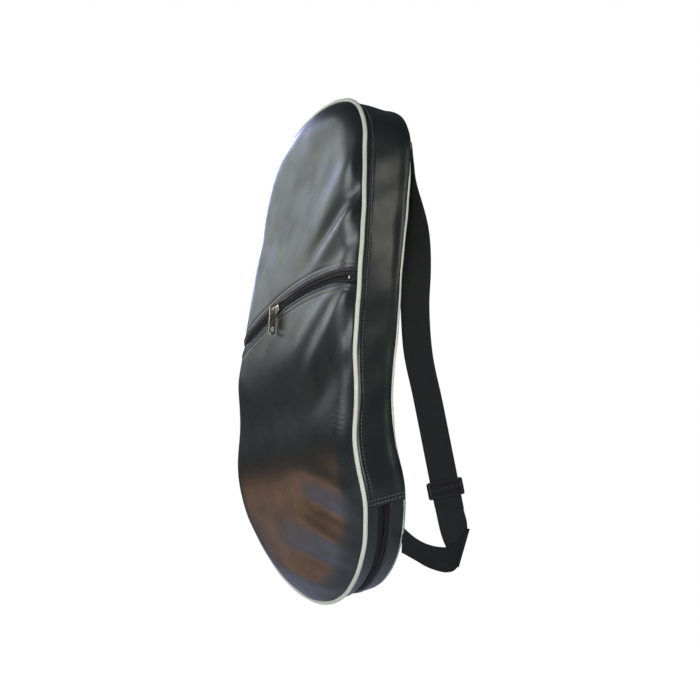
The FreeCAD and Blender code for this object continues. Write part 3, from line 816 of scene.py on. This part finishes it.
class CoverSizes(bpy.types.PropertyGroup):
    """Sizes of the soft parts, in millimetres."""
    front_crown: FloatProperty(
        name="Front crown", description="How far the front stands out",
        default=10.0, min=4.0, max=12.0,
    )
    back_crown: FloatProperty(
        name="Back crown", description="How far the back stands out",
        default=8.0, min=3.0, max=10.0,
    )
    edge_round: FloatProperty(
        name="Edge rounding", description="Width over which a face rises from its piping",
        default=34.0, min=15.0, max=80.0,
    )
    leather: FloatProperty(
        name="Leather", description="Thickness of the leather",
        default=1.4, min=0.8, max=2.0,
    )
    piping: FloatProperty(
        name="Piping", description="Radius of the piping",
        default=2.0, min=1.0, max=3.0,
    )
    stitch: FloatProperty(
        name="Stitch length", description="Length of one visible stitch",
        default=2.7, min=1.5, max=4.0,
    )
    tooth: FloatProperty(
        name="Coil pitch", description="Distance between turns of a zip's coil",
        default=1.25, min=0.8, max=2.5,
    )


class CoverColours(bpy.types.PropertyGroup):
    """Colours of the finishes."""
    leather: FloatVectorProperty(
        name="Leather", description="Coated leather",
        subtype="COLOR", default=(0.0085, 0.0115, 0.0115), min=0.0, max=1.0,
    )
    piping: FloatVectorProperty(
        name="Piping", description="Piping cord",
        subtype="COLOR", default=(0.86, 0.88, 0.75), min=0.0, max=1.0,
    )
    webbing: FloatVectorProperty(
        name="Webbing", description="Strap webbing",
        subtype="COLOR", default=(0.0016, 0.0018, 0.0030), min=0.0, max=1.0,
    )
    tape: FloatVectorProperty(
        name="Zip tape", description="Woven tape of the zips",
        subtype="COLOR", default=(0.004, 0.004, 0.005), min=0.0, max=1.0,
    )
    metal: FloatVectorProperty(
        name="Metal", description="Zip sliders and pullers",
        subtype="COLOR", default=(0.72, 0.66, 0.54), min=0.0, max=1.0,
    )
    lining: FloatVectorProperty(
        name="Lining", description="Inner cloth",
        subtype="COLOR", default=(0.02, 0.02, 0.023), min=0.0, max=1.0,
    )


def sizes():
    return bpy.context.scene.cover_sizes


FINISHES = {}


def finish(name):
    if not FINISHES:
        c = bpy.context.scene.cover_colours
        FINISHES.update({
            "leather": leather_finish("coated_leather", c.leather),
            "piping": piping_finish(c.piping),
            "tape": woven_finish("zip_tape", c.tape, 900.0, 900.0, 0.08),
            "coil": moulded_finish("zip_coil", shade(c.tape, 1.6), 0.38),
            "webbing": woven_finish("webbing", c.webbing, 900.0, 700.0, 0.06, 0.55),
            "metal": nickel_finish(c.metal),
            "lining": cloth_finish("lining_cloth", c.lining),
            "foam": cloth_finish("quilt_foam", (0.10, 0.10, 0.105), 160.0),
            "plastic": moulded_finish("buckle_plastic", (0.012, 0.012, 0.013)),
            "thread": thread_finish((0.16, 0.18, 0.18)),
        })
    return FINISHES[name]


# ---- the leather --------------------------------------------------------------------------

class COVER_OT_front(bpy.types.Operator):
    """Builds the crowned front above and below the pocket zip"""
    bl_idname = "cover.front"
    bl_label = "Front leather"

    def execute(self, context):
        outward = (0.0, -1.0, 0.0)
        upper = star_face("front_panel_upper_skin", zip_cut_border(True), (0.0, 392.0), 62,
                          front_depth, finish("leather"), outward)
        thickened(upper, sizes().leather)
        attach(upper, "shell")
        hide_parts("front_panel_upper")
        lower = star_face("pocket_front_skin", zip_cut_border(False), (0.0, 150.0), 78,
                          front_depth, finish("leather"), outward)
        thickened(lower, sizes().leather)
        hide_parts("pocket_front", "lower_front_flap")
        bends_at_mouth(lower)
        return {"FINISHED"}


class COVER_OT_back(bpy.types.Operator):
    """Builds the crowned back with its foam and lining"""
    bl_idname = "cover.back"
    bl_label = "Back leather"

    def execute(self, context):
        border = inset_line(OUTLINE, RIM_TUCK)[::2]

        def leather_depth(points):
            tuck = 0.6 * (1.0 - smooth(1.0, 3.0, rim_distance(points)))
            return DEPTH + back_height(points) - tuck

        skin = star_face("back_panel_skin", border, (0.0, 240.0), 72, leather_depth,
                         finish("leather"), (0.0, 1.0, 0.0))
        thickened(skin, sizes().leather)
        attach(skin, "shell")
        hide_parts("back_panel")
        inner = inset_line(OUTLINE, LINING_INSET)[::3]
        for name, node, lift, thick, cloth, slot in (
            ("back_foam", "back_padding", -1.9, 3.0, "foam", "foam"),
            ("back_lining_cloth", "back_lining", -5.1, 0.5, "lining", "lining"),
        ):
            layer = star_face(name, inner, (0.0, 240.0), 26,
                              lambda points, lift=lift: DEPTH + back_height(points) + lift,
                              finish(cloth), (0.0, 1.0, 0.0))
            thickened(layer, thick)
            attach(layer, "shell")
            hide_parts(node)
        return {"FINISHED"}


class COVER_OT_inside(bpy.types.Operator):
    """Builds the foam, the lining and the pocket's own bag behind the front"""
    bl_idname = "cover.inside"
    bl_label = "Front foam and lining"

    def execute(self, context):
        inner = inset_line(OUTLINE, LINING_INSET)[::3]
        for name, nodes, lift, thick, cloth, slot in (
            ("front_foam", ("front_padding", "flap_padding"), 4.8, 3.0, "foam", "foam"),
            ("front_lining_cloth", ("front_lining", "flap_lining"), 8.3, 0.5, "lining", "lining"),
        ):
            layer = star_face(name, inner, (0.0, 240.0), 26,
                              lambda points, lift=lift: lift - front_height(points),
                              finish(cloth), (0.0, -1.0, 0.0))
            thickened(layer, thick)
            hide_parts(*nodes)
            bends_at_mouth(layer)
        line = inset_line(OUTLINE, LINING_INSET)
        low, high = 118.0, zip_rise(line[:, 0], 11.0)
        clipped = np.stack([line[:, 0], np.clip(line[:, 1], low, high)], axis=1)
        bag = star_face("pocket_bag_cloth", evenly(clipped, 300), (0.0, 200.0), 26,
                        lambda points: 3.8 - front_height(points), finish("lining"),
                        (0.0, -1.0, 0.0))
        thickened(bag, 0.4)
        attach(bag, "shell")
        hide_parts("pocket_bag")
        return {"FINISHED"}


class COVER_OT_gusset(bpy.types.Operator):
    """Builds the wall between the faces and the two strips beside the foot zip"""
    bl_idname = "cover.gusset"
    bl_label = "Gusset"

    def execute(self, context):
        line = kept_run(OUTLINE, OUTLINE[:, 1] >= FOOT_ZIP_TOP - 1.0)
        wall = band("gusset_wall", line, np.linspace(1.2, DEPTH - 0.3, 40), gusset_inset,
                    finish("leather"))
        thickened(wall, sizes().leather)
        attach(wall, "shell")
        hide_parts("gusset")
        foot = foot_part(FOOT_ZIP_TOP + 2.0)

        def strip_inset(run, depth, up):
            near = abs(depth - FOOT_ZIP_DEPTH) - ZIP_OPENING
            rolled = 1.3 * (1.0 - float(smooth(0.0, 1.8, near)))
            rolled -= 0.35 * math.exp(-((near - 3.0) / 1.4) ** 2)
            tucked = 0.7 * float(smooth(FOOT_ZIP_TOP - 6.0, FOOT_ZIP_TOP, up))
            return 1.2 + rolled + tucked + 0.25 * math.sin(run * 0.09)

        for name, depths, flap in (
            ("foot_strip_rear", np.linspace(FOOT_ZIP_DEPTH + ZIP_OPENING, DEPTH - 1.2, 18), False),
            ("foot_strip_front", np.linspace(1.2, FOOT_ZIP_DEPTH - ZIP_OPENING, 18), True),
        ):
            strip = band(name, foot, depths, strip_inset, finish("leather"))
            thickened(strip, sizes().leather)
            if flap:
                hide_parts("flap_zip_strip")
                bends_at_mouth(strip, 16.0, 12.0)
            else:
                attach(strip, "shell")
        return {"FINISHED"}


# ---- piping and stitching -------------------------------------------------------------------

class COVER_OT_piping(bpy.types.Operator):
    """Builds the cream piping round both faces"""
    bl_idname = "cover.piping"
    bl_label = "Piping"

    def execute(self, context):
        spots = np.arange(len(OUTLINE))
        waver = 0.25 * np.sin(spots * 0.11) + 0.15 * np.sin(spots * 0.29)
        for name, nodes, depth in (
            ("front_piping_cord", ("front_piping", "flap_piping"), 0.0),
            ("back_piping_cord", ("back_piping",), DEPTH),
        ):
            level = depth + waver
            around = OUTLINE
            radius = sizes().piping
            if depth:
                up = OUTLINE[:, 1]
                hidden = smooth(395.0, 430.0, up) + 1.0 - smooth(120.0, 165.0, up)
                around = OUTLINE + inward_of(OUTLINE) * (1.5 + 1.7 * hidden)[:, None]
                radius = 0.85 * radius
            cord = tube(name, laid(around, level), radius / 1000.0, finish("piping"), closed=True)
            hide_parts(*nodes)
            if depth:
                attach(cord, "shell")
            else:
                bends_at_mouth(cord)
        return {"FINISHED"}


class COVER_OT_stitching(bpy.types.Operator):
    """Builds the visible rows of stitches"""
    bl_idname = "cover.stitching"
    bl_label = "Stitching"

    def execute(self, context):
        long = sizes().stitch
        pitch = long * 1.3
        rows = [front_skin_line(zip_arc(-ZIP_OPENING - off, 128.0), 0.12) for off in (3.4, 8.0)]
        rows.append(front_skin_line(zip_arc(ZIP_OPENING + 3.4, 122.0), 0.12))
        pocket = bead_row("pocket_stitches", rows, pitch, long, 0.85, 0.75, finish("thread"))
        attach(pocket, "shell")
        seams = [outline_skin_line(side_part(FOOT_ZIP_TOP + 10.0, LENGTH, side), 7.6, 0.15,
                                   gusset_inset) for side in (1.0, -1.0)]
        seam = bead_row("gusset_seam_stitches", seams, pitch, long, 0.75, 0.7, finish("thread"))
        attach(seam, "shell")
        hems = []
        for side in (1, -1):
            for rise in (2.6, 6.6):
                up = FOOT_ZIP_TOP + rise
                edge = side_part(up - 2.0, up + 2.0, side)
                spot = edge[np.argmin(np.abs(edge[:, 1] - up))]
                depths = np.linspace(3.0, DEPTH - 3.0, 40)
                lift = np.array([0.15 - gusset_inset(0.0, d, up) for d in depths])
                level = np.full(len(depths), spot[1])
                flat = np.stack([spot[0] + side * (lift + 1.4), depths, level], axis=1)
                points = placed(flat)
                hems.append((points, placed(flat + np.array([side * FACING, 0.0, 0.0])) - points))
        hem = bead_row("foot_hem_stitches", hems, pitch, long, 0.8, 0.75, finish("thread"))
        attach(hem, "shell")
        return {"FINISHED"}


# ---- zips --------------------------------------------------------------------------------------

def coil_row(name, line):
    """The turns of a zip's coil along a line of points and facings."""
    return bead_row(name, [line], sizes().tooth, 0.95, 2.3, 1.5, finish("coil"), 0.02)


class COVER_OT_pocket_zip(bpy.types.Operator):
    """Builds the curved pocket zip: two tapes, two rows of coil and the end stops"""
    bl_idname = "cover.pocket_zip"
    bl_label = "Pocket zip"

    def execute(self, context):
        for side, name in ((-1.0, "lower"), (1.0, "upper")):
            lines = [zip_arc(side * off, 130.0) for off in (0.5, 2.0, 4.0, 6.0, 8.0)]
            flat = np.concatenate(lines)
            depth = 2.3 - front_height(flat) + 0.8 * np.repeat([0, 0, 0, 0.3, 0.5], len(lines[0]))
            count = len(lines[0])
            tape = new_piece("pocket_tape_" + name, laid(flat, depth),
                             grid_faces(len(lines), count), finish("tape"))
            map_weave(tape, count, lambda row, column: (column * 0.001, row * 0.002))
            turned(tape, (0.0, -1.0, 0.0))
            thickened(tape, 0.6)
            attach(tape, "shell")
            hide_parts("pocket_zip_tape_" + name)
            arc_line = zip_arc(side * 1.5, 124.0)
            coil = coil_row("pocket_coil_" + name, front_line(arc_line, 1.7 - front_height(arc_line)))
            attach(coil, "shell")
            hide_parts("pocket_zip_coil_" + name)
        clips = []
        for side in (-1.0, 1.0):
            across = side * 124.8
            spots = np.array([[across, float(zip_rise(across, off))] for off in (-2.4, 0.0, 2.4)])
            points = laid(spots, 1.5 - front_height(spots))
            clips.append(tube("stop", points, 0.0009, finish("metal"), 10))
        stops = merged("pocket_end_stops", clips)
        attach(stops, "shell")
        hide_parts("pocket_zip_stops")
        return {"FINISHED"}


def merged(name, objects):
    """One piece out of several."""
    verts, faces, material = [], [], objects[0].data.materials[0]
    for obj in objects:
        first = len(verts)
        verts += [tuple(v.co) for v in obj.data.vertices]
        faces += [tuple(first + k for k in p.vertices) for p in obj.data.polygons]
        bpy.data.objects.remove(obj)
    return new_piece(name, verts, faces, material)


class COVER_OT_foot_zip(bpy.types.Operator):
    """Builds the zip that opens the foot"""
    bl_idname = "cover.foot_zip"
    bl_label = "Foot zip"

    def execute(self, context):
        foot = foot_part(FOOT_ZIP_TOP + 1.0)
        for side, name, flap in ((1.0, "rear", False), (-1.0, "front", True)):
            near = FOOT_ZIP_DEPTH + side * 0.5
            depths = np.linspace(near, FOOT_ZIP_DEPTH + side * 8.6, 7)
            tape = band("foot_tape_" + name, foot, depths, lambda run, depth, up: 3.1,
                        finish("tape"))
            thickened(tape, 0.6)
            coil = coil_row("foot_coil_" + name, outline_skin_line(
                foot, FOOT_ZIP_DEPTH + side * 1.5, 0.0, lambda run, depth, up: 2.5))
            if flap:
                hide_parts("foot_zip_tape_ends", "flap_zip_tape")
                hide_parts("foot_zip_coil_ends", "flap_zip_coil")
                bends_at_mouth(tape, 16.0, 12.0)
                bends_at_mouth(coil, 16.0, 12.0)
            else:
                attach(tape, "shell")
                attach(coil, "shell")
                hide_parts("foot_zip_tape_rear")
                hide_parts("foot_zip_coil_rear")
        return {"FINISHED"}


def local_frame(origin, along, outward):
    """Metres: X runs along, Z points outward."""
    x, z = Vector(along).normalized(), Vector(outward).normalized()
    y = z.cross(x)
    return Matrix((
        (x.x, y.x, z.x, origin[0]), (x.y, y.y, z.y, origin[1]),
        (x.z, y.z, z.z, origin[2]), (0.0, 0.0, 0.0, 1.0),
    ))


def plate(name, outlines, thick, bevel, material):
    """A flat plate with rounded edges; outlines are loops in millimetres, holes included."""
    curve = bpy.data.curves.new(name, "CURVE")
    curve.dimensions = "2D"
    curve.fill_mode = "BOTH"
    curve.extrude = (thick / 2 - bevel) / 1000.0
    curve.bevel_depth = bevel / 1000.0
    curve.bevel_resolution = 2
    curve.offset = -bevel / 1000.0
    for loop in outlines:
        line = curve.splines.new("POLY")
        line.points.add(len(loop) - 1)
        for point, (x, y) in zip(line.points, loop):
            point.co = (x / 1000.0, y / 1000.0, 0.0, 1.0)
        line.use_cyclic_u = True
    obj = bpy.data.objects.new(name, curve)
    bpy.context.scene.collection.objects.link(obj)
    mesh = bpy.data.meshes.new_from_object(obj.evaluated_get(bpy.context.evaluated_depsgraph_get()))
    bpy.data.objects.remove(obj)
    made = bpy.data.objects.new(name, mesh)
    bpy.context.scene.collection.objects.link(made)
    mesh.materials.clear()
    mesh.materials.append(material)
    return cleaned(made, 1e-6)


def capsule(x, y, wide, tall, count=20):
    """A loop with round ends, upright, about a middle."""
    r = wide / 2
    loop = []
    for end, start in ((tall / 2 - r, 0.0), (r - tall / 2, math.pi)):
        loop += [(x + r * math.cos(a), y + end + r * math.sin(a))
                 for a in np.linspace(start, start + math.pi, count)]
    return loop


def ring(x, y, radius, count=28):
    return [(x + radius * math.cos(a), y + radius * math.sin(a))
            for a in np.linspace(0, 2 * math.pi, count, endpoint=False)]


def moved(obj, matrix):
    obj.data.transform(matrix)
    obj.data.update()
    return obj


def slider_body(name, place, bar_across):
    """The slider's two plates, its post and the bridge that holds the puller."""
    nose = [(5.4, 0.0), (5.0, 2.4), (3.6, 4.1), (0.0, 4.6), (-3.4, 3.9), (-5.4, 3.2), (-5.6, 0.0)]
    loop = nose + [(x, -y) for x, y in reversed(nose[1:-1])]
    loop = [tuple(p) for p in evenly(loop, 48)]
    parts = []
    for part, outline, thick, bevel, level in (
        ("top", loop, 1.3, 0.35, 0.0023),
        ("foot", loop, 1.1, 0.3, -0.0016),
        ("post", ring(3.0, 0.0, 0.45, 12), 3.2, 0.1, 0.0004),
    ):
        made = plate(part, [outline], thick, bevel, finish("metal"))
        parts.append(moved(made, Matrix.Translation((0, 0, level))))
    span = np.linspace(0.0, math.pi, 25)
    reach = 4.0 * np.sign(np.cos(span)) * np.abs(np.cos(span)) ** 0.55
    rise = 2.6 + (BAR_HEIGHT - 2.6) * np.sin(span) ** 0.5
    level = 0.0 * span
    line = np.stack([level, reach, rise] if bar_across else [reach, level, rise], axis=1)
    bridge = tube("bridge", line / 1000.0, 0.00078, finish("metal"), 12)
    return moved(merged(name, parts + [bridge]), place)


def puller_tab(name):
    """The puller's tab, with its eye at the origin and its finger hole below."""
    outlines = [capsule(0.0, -12.4, 6.8, 31.0), ring(0.0, 0.0, 1.15), capsule(0.0, -22.6, 3.7, 5.8)]
    return plate(name, outlines, 1.2, 0.25, finish("metal"))


class COVER_OT_pullers(bpy.types.Operator):
    """Builds both sliders with their pullers"""
    bl_idname = "cover.pullers"
    bl_label = "Sliders and pullers"

    def execute(self, context):
        swing = joint("pocket_puller_swing")
        outward = Vector(joint("pocket_slider_travel")["axis"])
        place = local_frame(swing["pos_m"], -Vector(swing["axis"]), outward)
        lower = Matrix.Translation((0, 0, -BAR_HEIGHT / 1000.0))
        body = slider_body("pocket_slider_body", place @ lower, False)
        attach(body, "pocket_slider")
        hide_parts("pocket_zip_slider")
        tab = puller_tab("pocket_puller_tab")
        edge_on = Matrix(((0, 0, 1, 0), (0, 1, 0, 0), (-1, 0, 0, 0), (0, 0, 0, 1)))
        moved(tab, place @ edge_on)
        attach(tab, "pocket_puller")
        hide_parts("pocket_zip_puller")
        swing = joint("foot_puller_swing")
        travel = joint("foot_slider_travel")
        axis = Vector(travel["axis"]).normalized()
        arm = Vector(swing["pos_m"]) - Vector(travel["pos_m"])
        outward = (arm - axis * arm.dot(axis)).normalized()
        along = axis.cross(outward)
        if along.z < 0:
            along = -along
        place = local_frame(swing["pos_m"], along, outward)
        body = slider_body("foot_slider_body", place @ lower, True)
        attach(body, "foot_slider")
        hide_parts("foot_zip_slider")
        tab = puller_tab("foot_puller_tab")
        low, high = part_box("foot_zip_puller")
        reach = (low + high) / 2 - Vector(swing["pos_m"])
        reach -= axis * reach.dot(axis)
        flat = local_frame(swing["pos_m"], axis, axis.cross(-reach.normalized()))
        if (flat @ Vector((0, -1, 0, 0))).xyz.dot(reach) < 0:
            flat = flat @ Matrix.Rotation(math.pi, 4, "Z")
        moved(tab, flat)
        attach(tab, "foot_puller")
        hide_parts("foot_zip_puller")
        return {"FINISHED"}


# ---- the strap -----------------------------------------------------------------------------------

# The webbing below the adjuster: back and height of both edges, from the seam, along the
# front layer to its diagonal fold, and up the rear layer to the adjuster.
FRONT_EDGE_A = ((26, 66), (39, 56), (54, 50), (71, 49), (83, 55), (92, 66))
FRONT_EDGE_B = ((25, 43), (37, 37), (51, 30), (66, 26), (75, 27), (80, 31))
REAR_EDGE_A = ((92, 66), (91, 74), (88, 84), (84, 101))
REAR_EDGE_B = ((80, 31), (74, 42), (65, 60), (56, 97))


def ribbon(name, edges_a, edges_b, thick, across=20):
    """Webbing between two edge lines in the row frame, with rounded edges and a weave map."""
    a, b = np.asarray(edges_a, float), np.asarray(edges_b, float)
    share = np.linspace(0.0, 1.0, across)
    grid = a[:, None, :] + (b - a)[:, None, :] * share[None, :, None]
    obj = new_piece(name, grid.reshape(-1, 3), grid_faces(len(a), across), finish("webbing"))
    run = run_along((a + b) / 2)
    map_weave(obj, across, lambda row, column: (share[column] * 0.03, run[row]))
    solid = obj.modifiers.new("webbing", "SOLIDIFY")
    solid.thickness = thick / 1000.0
    solid.offset = 0.0
    soften = obj.modifiers.new("edges", "BEVEL")
    soften.width = 0.0004
    soften.segments = 2
    soften.limit_method = "ANGLE"
    return finished(obj)


class COVER_OT_strap(bpy.types.Operator):
    """Builds the carrying strap, its folded end, its patch and its adjuster"""
    bl_idname = "cover.strap"
    bl_label = "Carrying strap"

    def execute(self, context):
        line = spline(STRAP, 170)
        angle = np.radians(line[:, 3])
        wide = np.stack([np.cos(angle), np.sin(angle), 0 * angle], axis=1) * 15.0
        middle = np.stack([line[:, 1], line[:, 2], line[:, 0]], axis=1)
        web = ribbon("strap_webbing_band", hung(middle - wide), hung(middle + wide), 1.7)
        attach(web, "shell")
        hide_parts("strap_webbing")

        def layer(edge_a, edge_b, level_a, level_b):
            lines = []
            for edge in (edge_a, edge_b):
                points = evenly(spline(edge), 40, closed=False)
                level = np.linspace(level_a, level_b, 40)
                lines.append(hung(np.stack([level, points[:, 0], points[:, 1]], axis=1)))
            return lines

        front = layer(FRONT_EDGE_A, FRONT_EDGE_B, 108.5, 112.4)
        rear = layer(REAR_EDGE_A, REAR_EDGE_B, 109.6, 110.0)
        turn = []
        for k in (0, 1):
            start, end = front[k][-1], rear[k][0]
            bulge = np.array([0.0, 0.0011, 0.0])
            turn.append(np.array([start + (end - start) * t + bulge * math.sin(math.pi * t)
                                  for t in np.linspace(0.1, 0.9, 9)]))
        edge_a = np.concatenate([front[0], turn[0], rear[0]])
        edge_b = np.concatenate([front[1], turn[1], rear[1]])
        fold = ribbon("strap_folded_end", edge_a, edge_b, 1.5)
        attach(fold, "shell")
        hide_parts("strap_lower_end")
        self.patch()
        self.adjuster()
        return {"FINISHED"}

    def patch(self):
        """The leather patch over the strap's upper end, with its stitches."""
        low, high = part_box("strap_patch")
        corner = rounded_box(18, 15, 4, 8)
        patch = plate("strap_patch_leather", [corner], 1.3, 0.35, finish("leather"))
        outward = Vector((0.0, math.cos(TILT - BEND), math.sin(TILT - BEND)))
        place = local_frame(((low + high) / 2), (1.0, 0.0, 0.0), outward)
        moved(patch, place)
        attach(patch, "shell")
        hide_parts("strap_patch")
        loop = [(x * 0.86, y * 0.84) for x, y in corner]
        loop.append(loop[0])
        line = np.array([place @ Vector((x / 1000.0, y / 1000.0, 0.0007)) for x, y in loop])
        out = np.tile(np.array(outward), (len(line), 1))
        rows = bead_row("strap_patch_stitches", [(line, out)], 3.3, 2.5, 0.5, 0.45, finish("thread"))
        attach(rows, "shell")

    def adjuster(self):
        """A ladder buckle: two rails and three bars with rounded edges."""
        slide = joint("adjuster_slide")
        up = Vector(slide["axis"]).normalized()
        low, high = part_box("strap_adjuster")
        centre = (low + high) / 2
        windows = [shifted(rounded_box(1.6, 15.3, 0.7), x) for x in (-4.0, 3.4)]
        buckle = plate("strap_adjuster_buckle", [rounded_box(8.0, 18.2, 2.2)] + windows, 4.6, 0.9,
                       finish("plastic"))
        place = local_frame(centre, up, (1.0, 0.0, 0.0))
        moved(buckle, place)
        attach(buckle, "adjuster")
        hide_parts("strap_adjuster")


def rounded_box(half_x, half_y, radius, count=7):
    """A rectangle's loop with rounded corners, about the origin."""
    loop = []
    for sx, sy, start in ((1, 1, 0), (-1, 1, 90), (-1, -1, 180), (1, -1, 270)):
        for a in np.linspace(start, start + 90, count):
            loop.append((sx * (half_x - radius) + radius * math.cos(math.radians(a)),
                         sy * (half_y - radius) + radius * math.sin(math.radians(a))))
    return loop


def shifted(loop, x):
    return [(px + x, py) for px, py in loop]


# ---- stage ---------------------------------------------------------------------------------------

class COVER_OT_stage(bpy.types.Operator):
    """Sets up the floor, the lights and the camera"""
    bl_idname = "cover.stage"
    bl_label = "Stage"

    def execute(self, context):
        scene = context.scene
        scene.view_settings.view_transform = "Standard"
        target = Vector(placed([(0.0, 15.0, 240.0)])[0])
        mesh = bpy.data.meshes.new("floor")
        level = FOOT.z / 1000.0 - 0.16
        corners = [(-9, -9, level), (9, -9, level), (9, 9, level), (-9, 9, level)]
        mesh.from_pydata(corners, [], [(0, 1, 2, 3)])
        floor = bpy.data.objects.new("floor", mesh)
        scene.collection.objects.link(floor)
        pale = bpy.data.materials.new("pale_floor")
        pale.use_nodes = True
        shader = pale.node_tree.nodes["Principled BSDF"]
        shader.inputs["Base Color"].default_value = (0.92, 0.92, 0.92, 1.0)
        shader.inputs["Roughness"].default_value = 0.9
        shader.inputs["Emission Color"].default_value = (1.0, 1.0, 1.0, 1.0)
        seen = pale.node_tree.nodes.new("ShaderNodeLightPath")
        pale.node_tree.links.new(seen.outputs["Is Camera Ray"], shader.inputs["Emission Strength"])
        mesh.materials.append(pale)
        self.sky(scene)
        lamps = (
            ("window", (-0.50, -1.30, 0.62), 0.55, 6.0, (0.93, 0.98, 0.97)),
            ("soft_left", (-1.30, -0.46, 0.66), 0.60, 1.9, (0.90, 0.97, 0.93)),
            ("left_edge", (-1.30, 0.20, 0.62), 0.45, 9.0, (0.50, 0.56, 1.0)),
            ("warm_low", (-1.10, -0.60, -0.42), 0.44, 1.1, (1.0, 0.48, 0.18)),
            ("warm_under", (0.35, -0.45, -0.58), 0.40, 1.2, (1.0, 0.52, 0.22)),
            ("metal_glint", (0.98, 0.58, 0.66), 0.30, 1.6, (1.0, 0.98, 0.92)),
            ("camera_fill", (1.15, -0.55, -0.05), 0.50, 6.5, (1.0, 1.0, 0.98)),
        )
        for name, offset, size, power, color in lamps:
            lamp = bpy.data.lights.new(name, "AREA")
            lamp.size, lamp.energy, lamp.color = size, power, color
            obj = bpy.data.objects.new(name, lamp)
            obj.location = target + Vector(offset)
            obj.rotation_mode = "QUATERNION"
            obj.rotation_quaternion = (-Vector(offset)).to_track_quat("-Z", "Y")
            scene.collection.objects.link(obj)
        lens = bpy.data.cameras.new("camera")
        lens.sensor_width = 36.0
        lens.lens = 79.4
        camera = bpy.data.objects.new("camera", lens)
        camera.location = Vector(hung([(1354.96, -608.70, -23.79)])[0])
        camera.rotation_mode = "QUATERNION"
        camera.rotation_quaternion = Vector((-0.89164, 0.41659, 0.17729)).to_track_quat("-Z", "Y")
        scene.collection.objects.link(camera)
        scene.camera = camera
        return {"FINISHED"}

    def sky(self, scene):
        """A pale world that lights the cover less than it shows."""
        world = bpy.data.worlds.new("studio")
        scene.world = world
        world.use_nodes = True
        tree = world.node_tree
        shown = tree.nodes["Background"]
        shown.inputs["Color"].default_value = (1.0, 1.0, 1.0, 1.0)
        shown.inputs["Strength"].default_value = 1.0
        lit = tree.nodes.new("ShaderNodeBackground")
        lit.inputs["Color"].default_value = (0.80, 0.86, 0.95, 1.0)
        lit.inputs["Strength"].default_value = 0.10
        path = tree.nodes.new("ShaderNodeLightPath")
        mix = tree.nodes.new("ShaderNodeMixShader")
        tree.links.new(path.outputs["Is Camera Ray"], mix.inputs[0])
        tree.links.new(lit.outputs[0], mix.inputs[1])
        tree.links.new(shown.outputs[0], mix.inputs[2])
        tree.links.new(mix.outputs[0], tree.nodes["World Output"].inputs["Surface"])


class COVER_PT_panel(bpy.types.Panel):
    """Lists the steps of the build"""
    bl_label = "Racket cover"
    bl_idname = "COVER_PT_panel"
    bl_space_type = "VIEW_3D"
    bl_region_type = "UI"
    bl_category = "Cover"

    def draw(self, context):
        layout = self.layout
        for group in (context.scene.cover_sizes, context.scene.cover_colours):
            for key in group.__annotations__:
                layout.prop(group, key)
        for step in STEPS:
            layout.operator(step.bl_idname)


STEPS = (
    COVER_OT_front, COVER_OT_back, COVER_OT_inside, COVER_OT_gusset, COVER_OT_piping,
    COVER_OT_stitching, COVER_OT_pocket_zip, COVER_OT_foot_zip, COVER_OT_pullers,
    COVER_OT_strap, COVER_OT_stage,
)
CLASSES = (CoverSizes, CoverColours) + STEPS + (COVER_PT_panel,)


def register():
    for item in CLASSES:
        bpy.utils.register_class(item)
    bpy.types.Scene.cover_sizes = PointerProperty(type=CoverSizes)
    bpy.types.Scene.cover_colours = PointerProperty(type=CoverColours)


def unregister():
    del bpy.types.Scene.cover_colours
    del bpy.types.Scene.cover_sizes
    for item in reversed(CLASSES):
        bpy.utils.unregister_class(item)


def main():
    register()
    for step in STEPS:
        group, name = step.bl_idname.split(".")
        getattr(getattr(bpy.ops, group), name)()


if __name__ == "__main__":
    main()
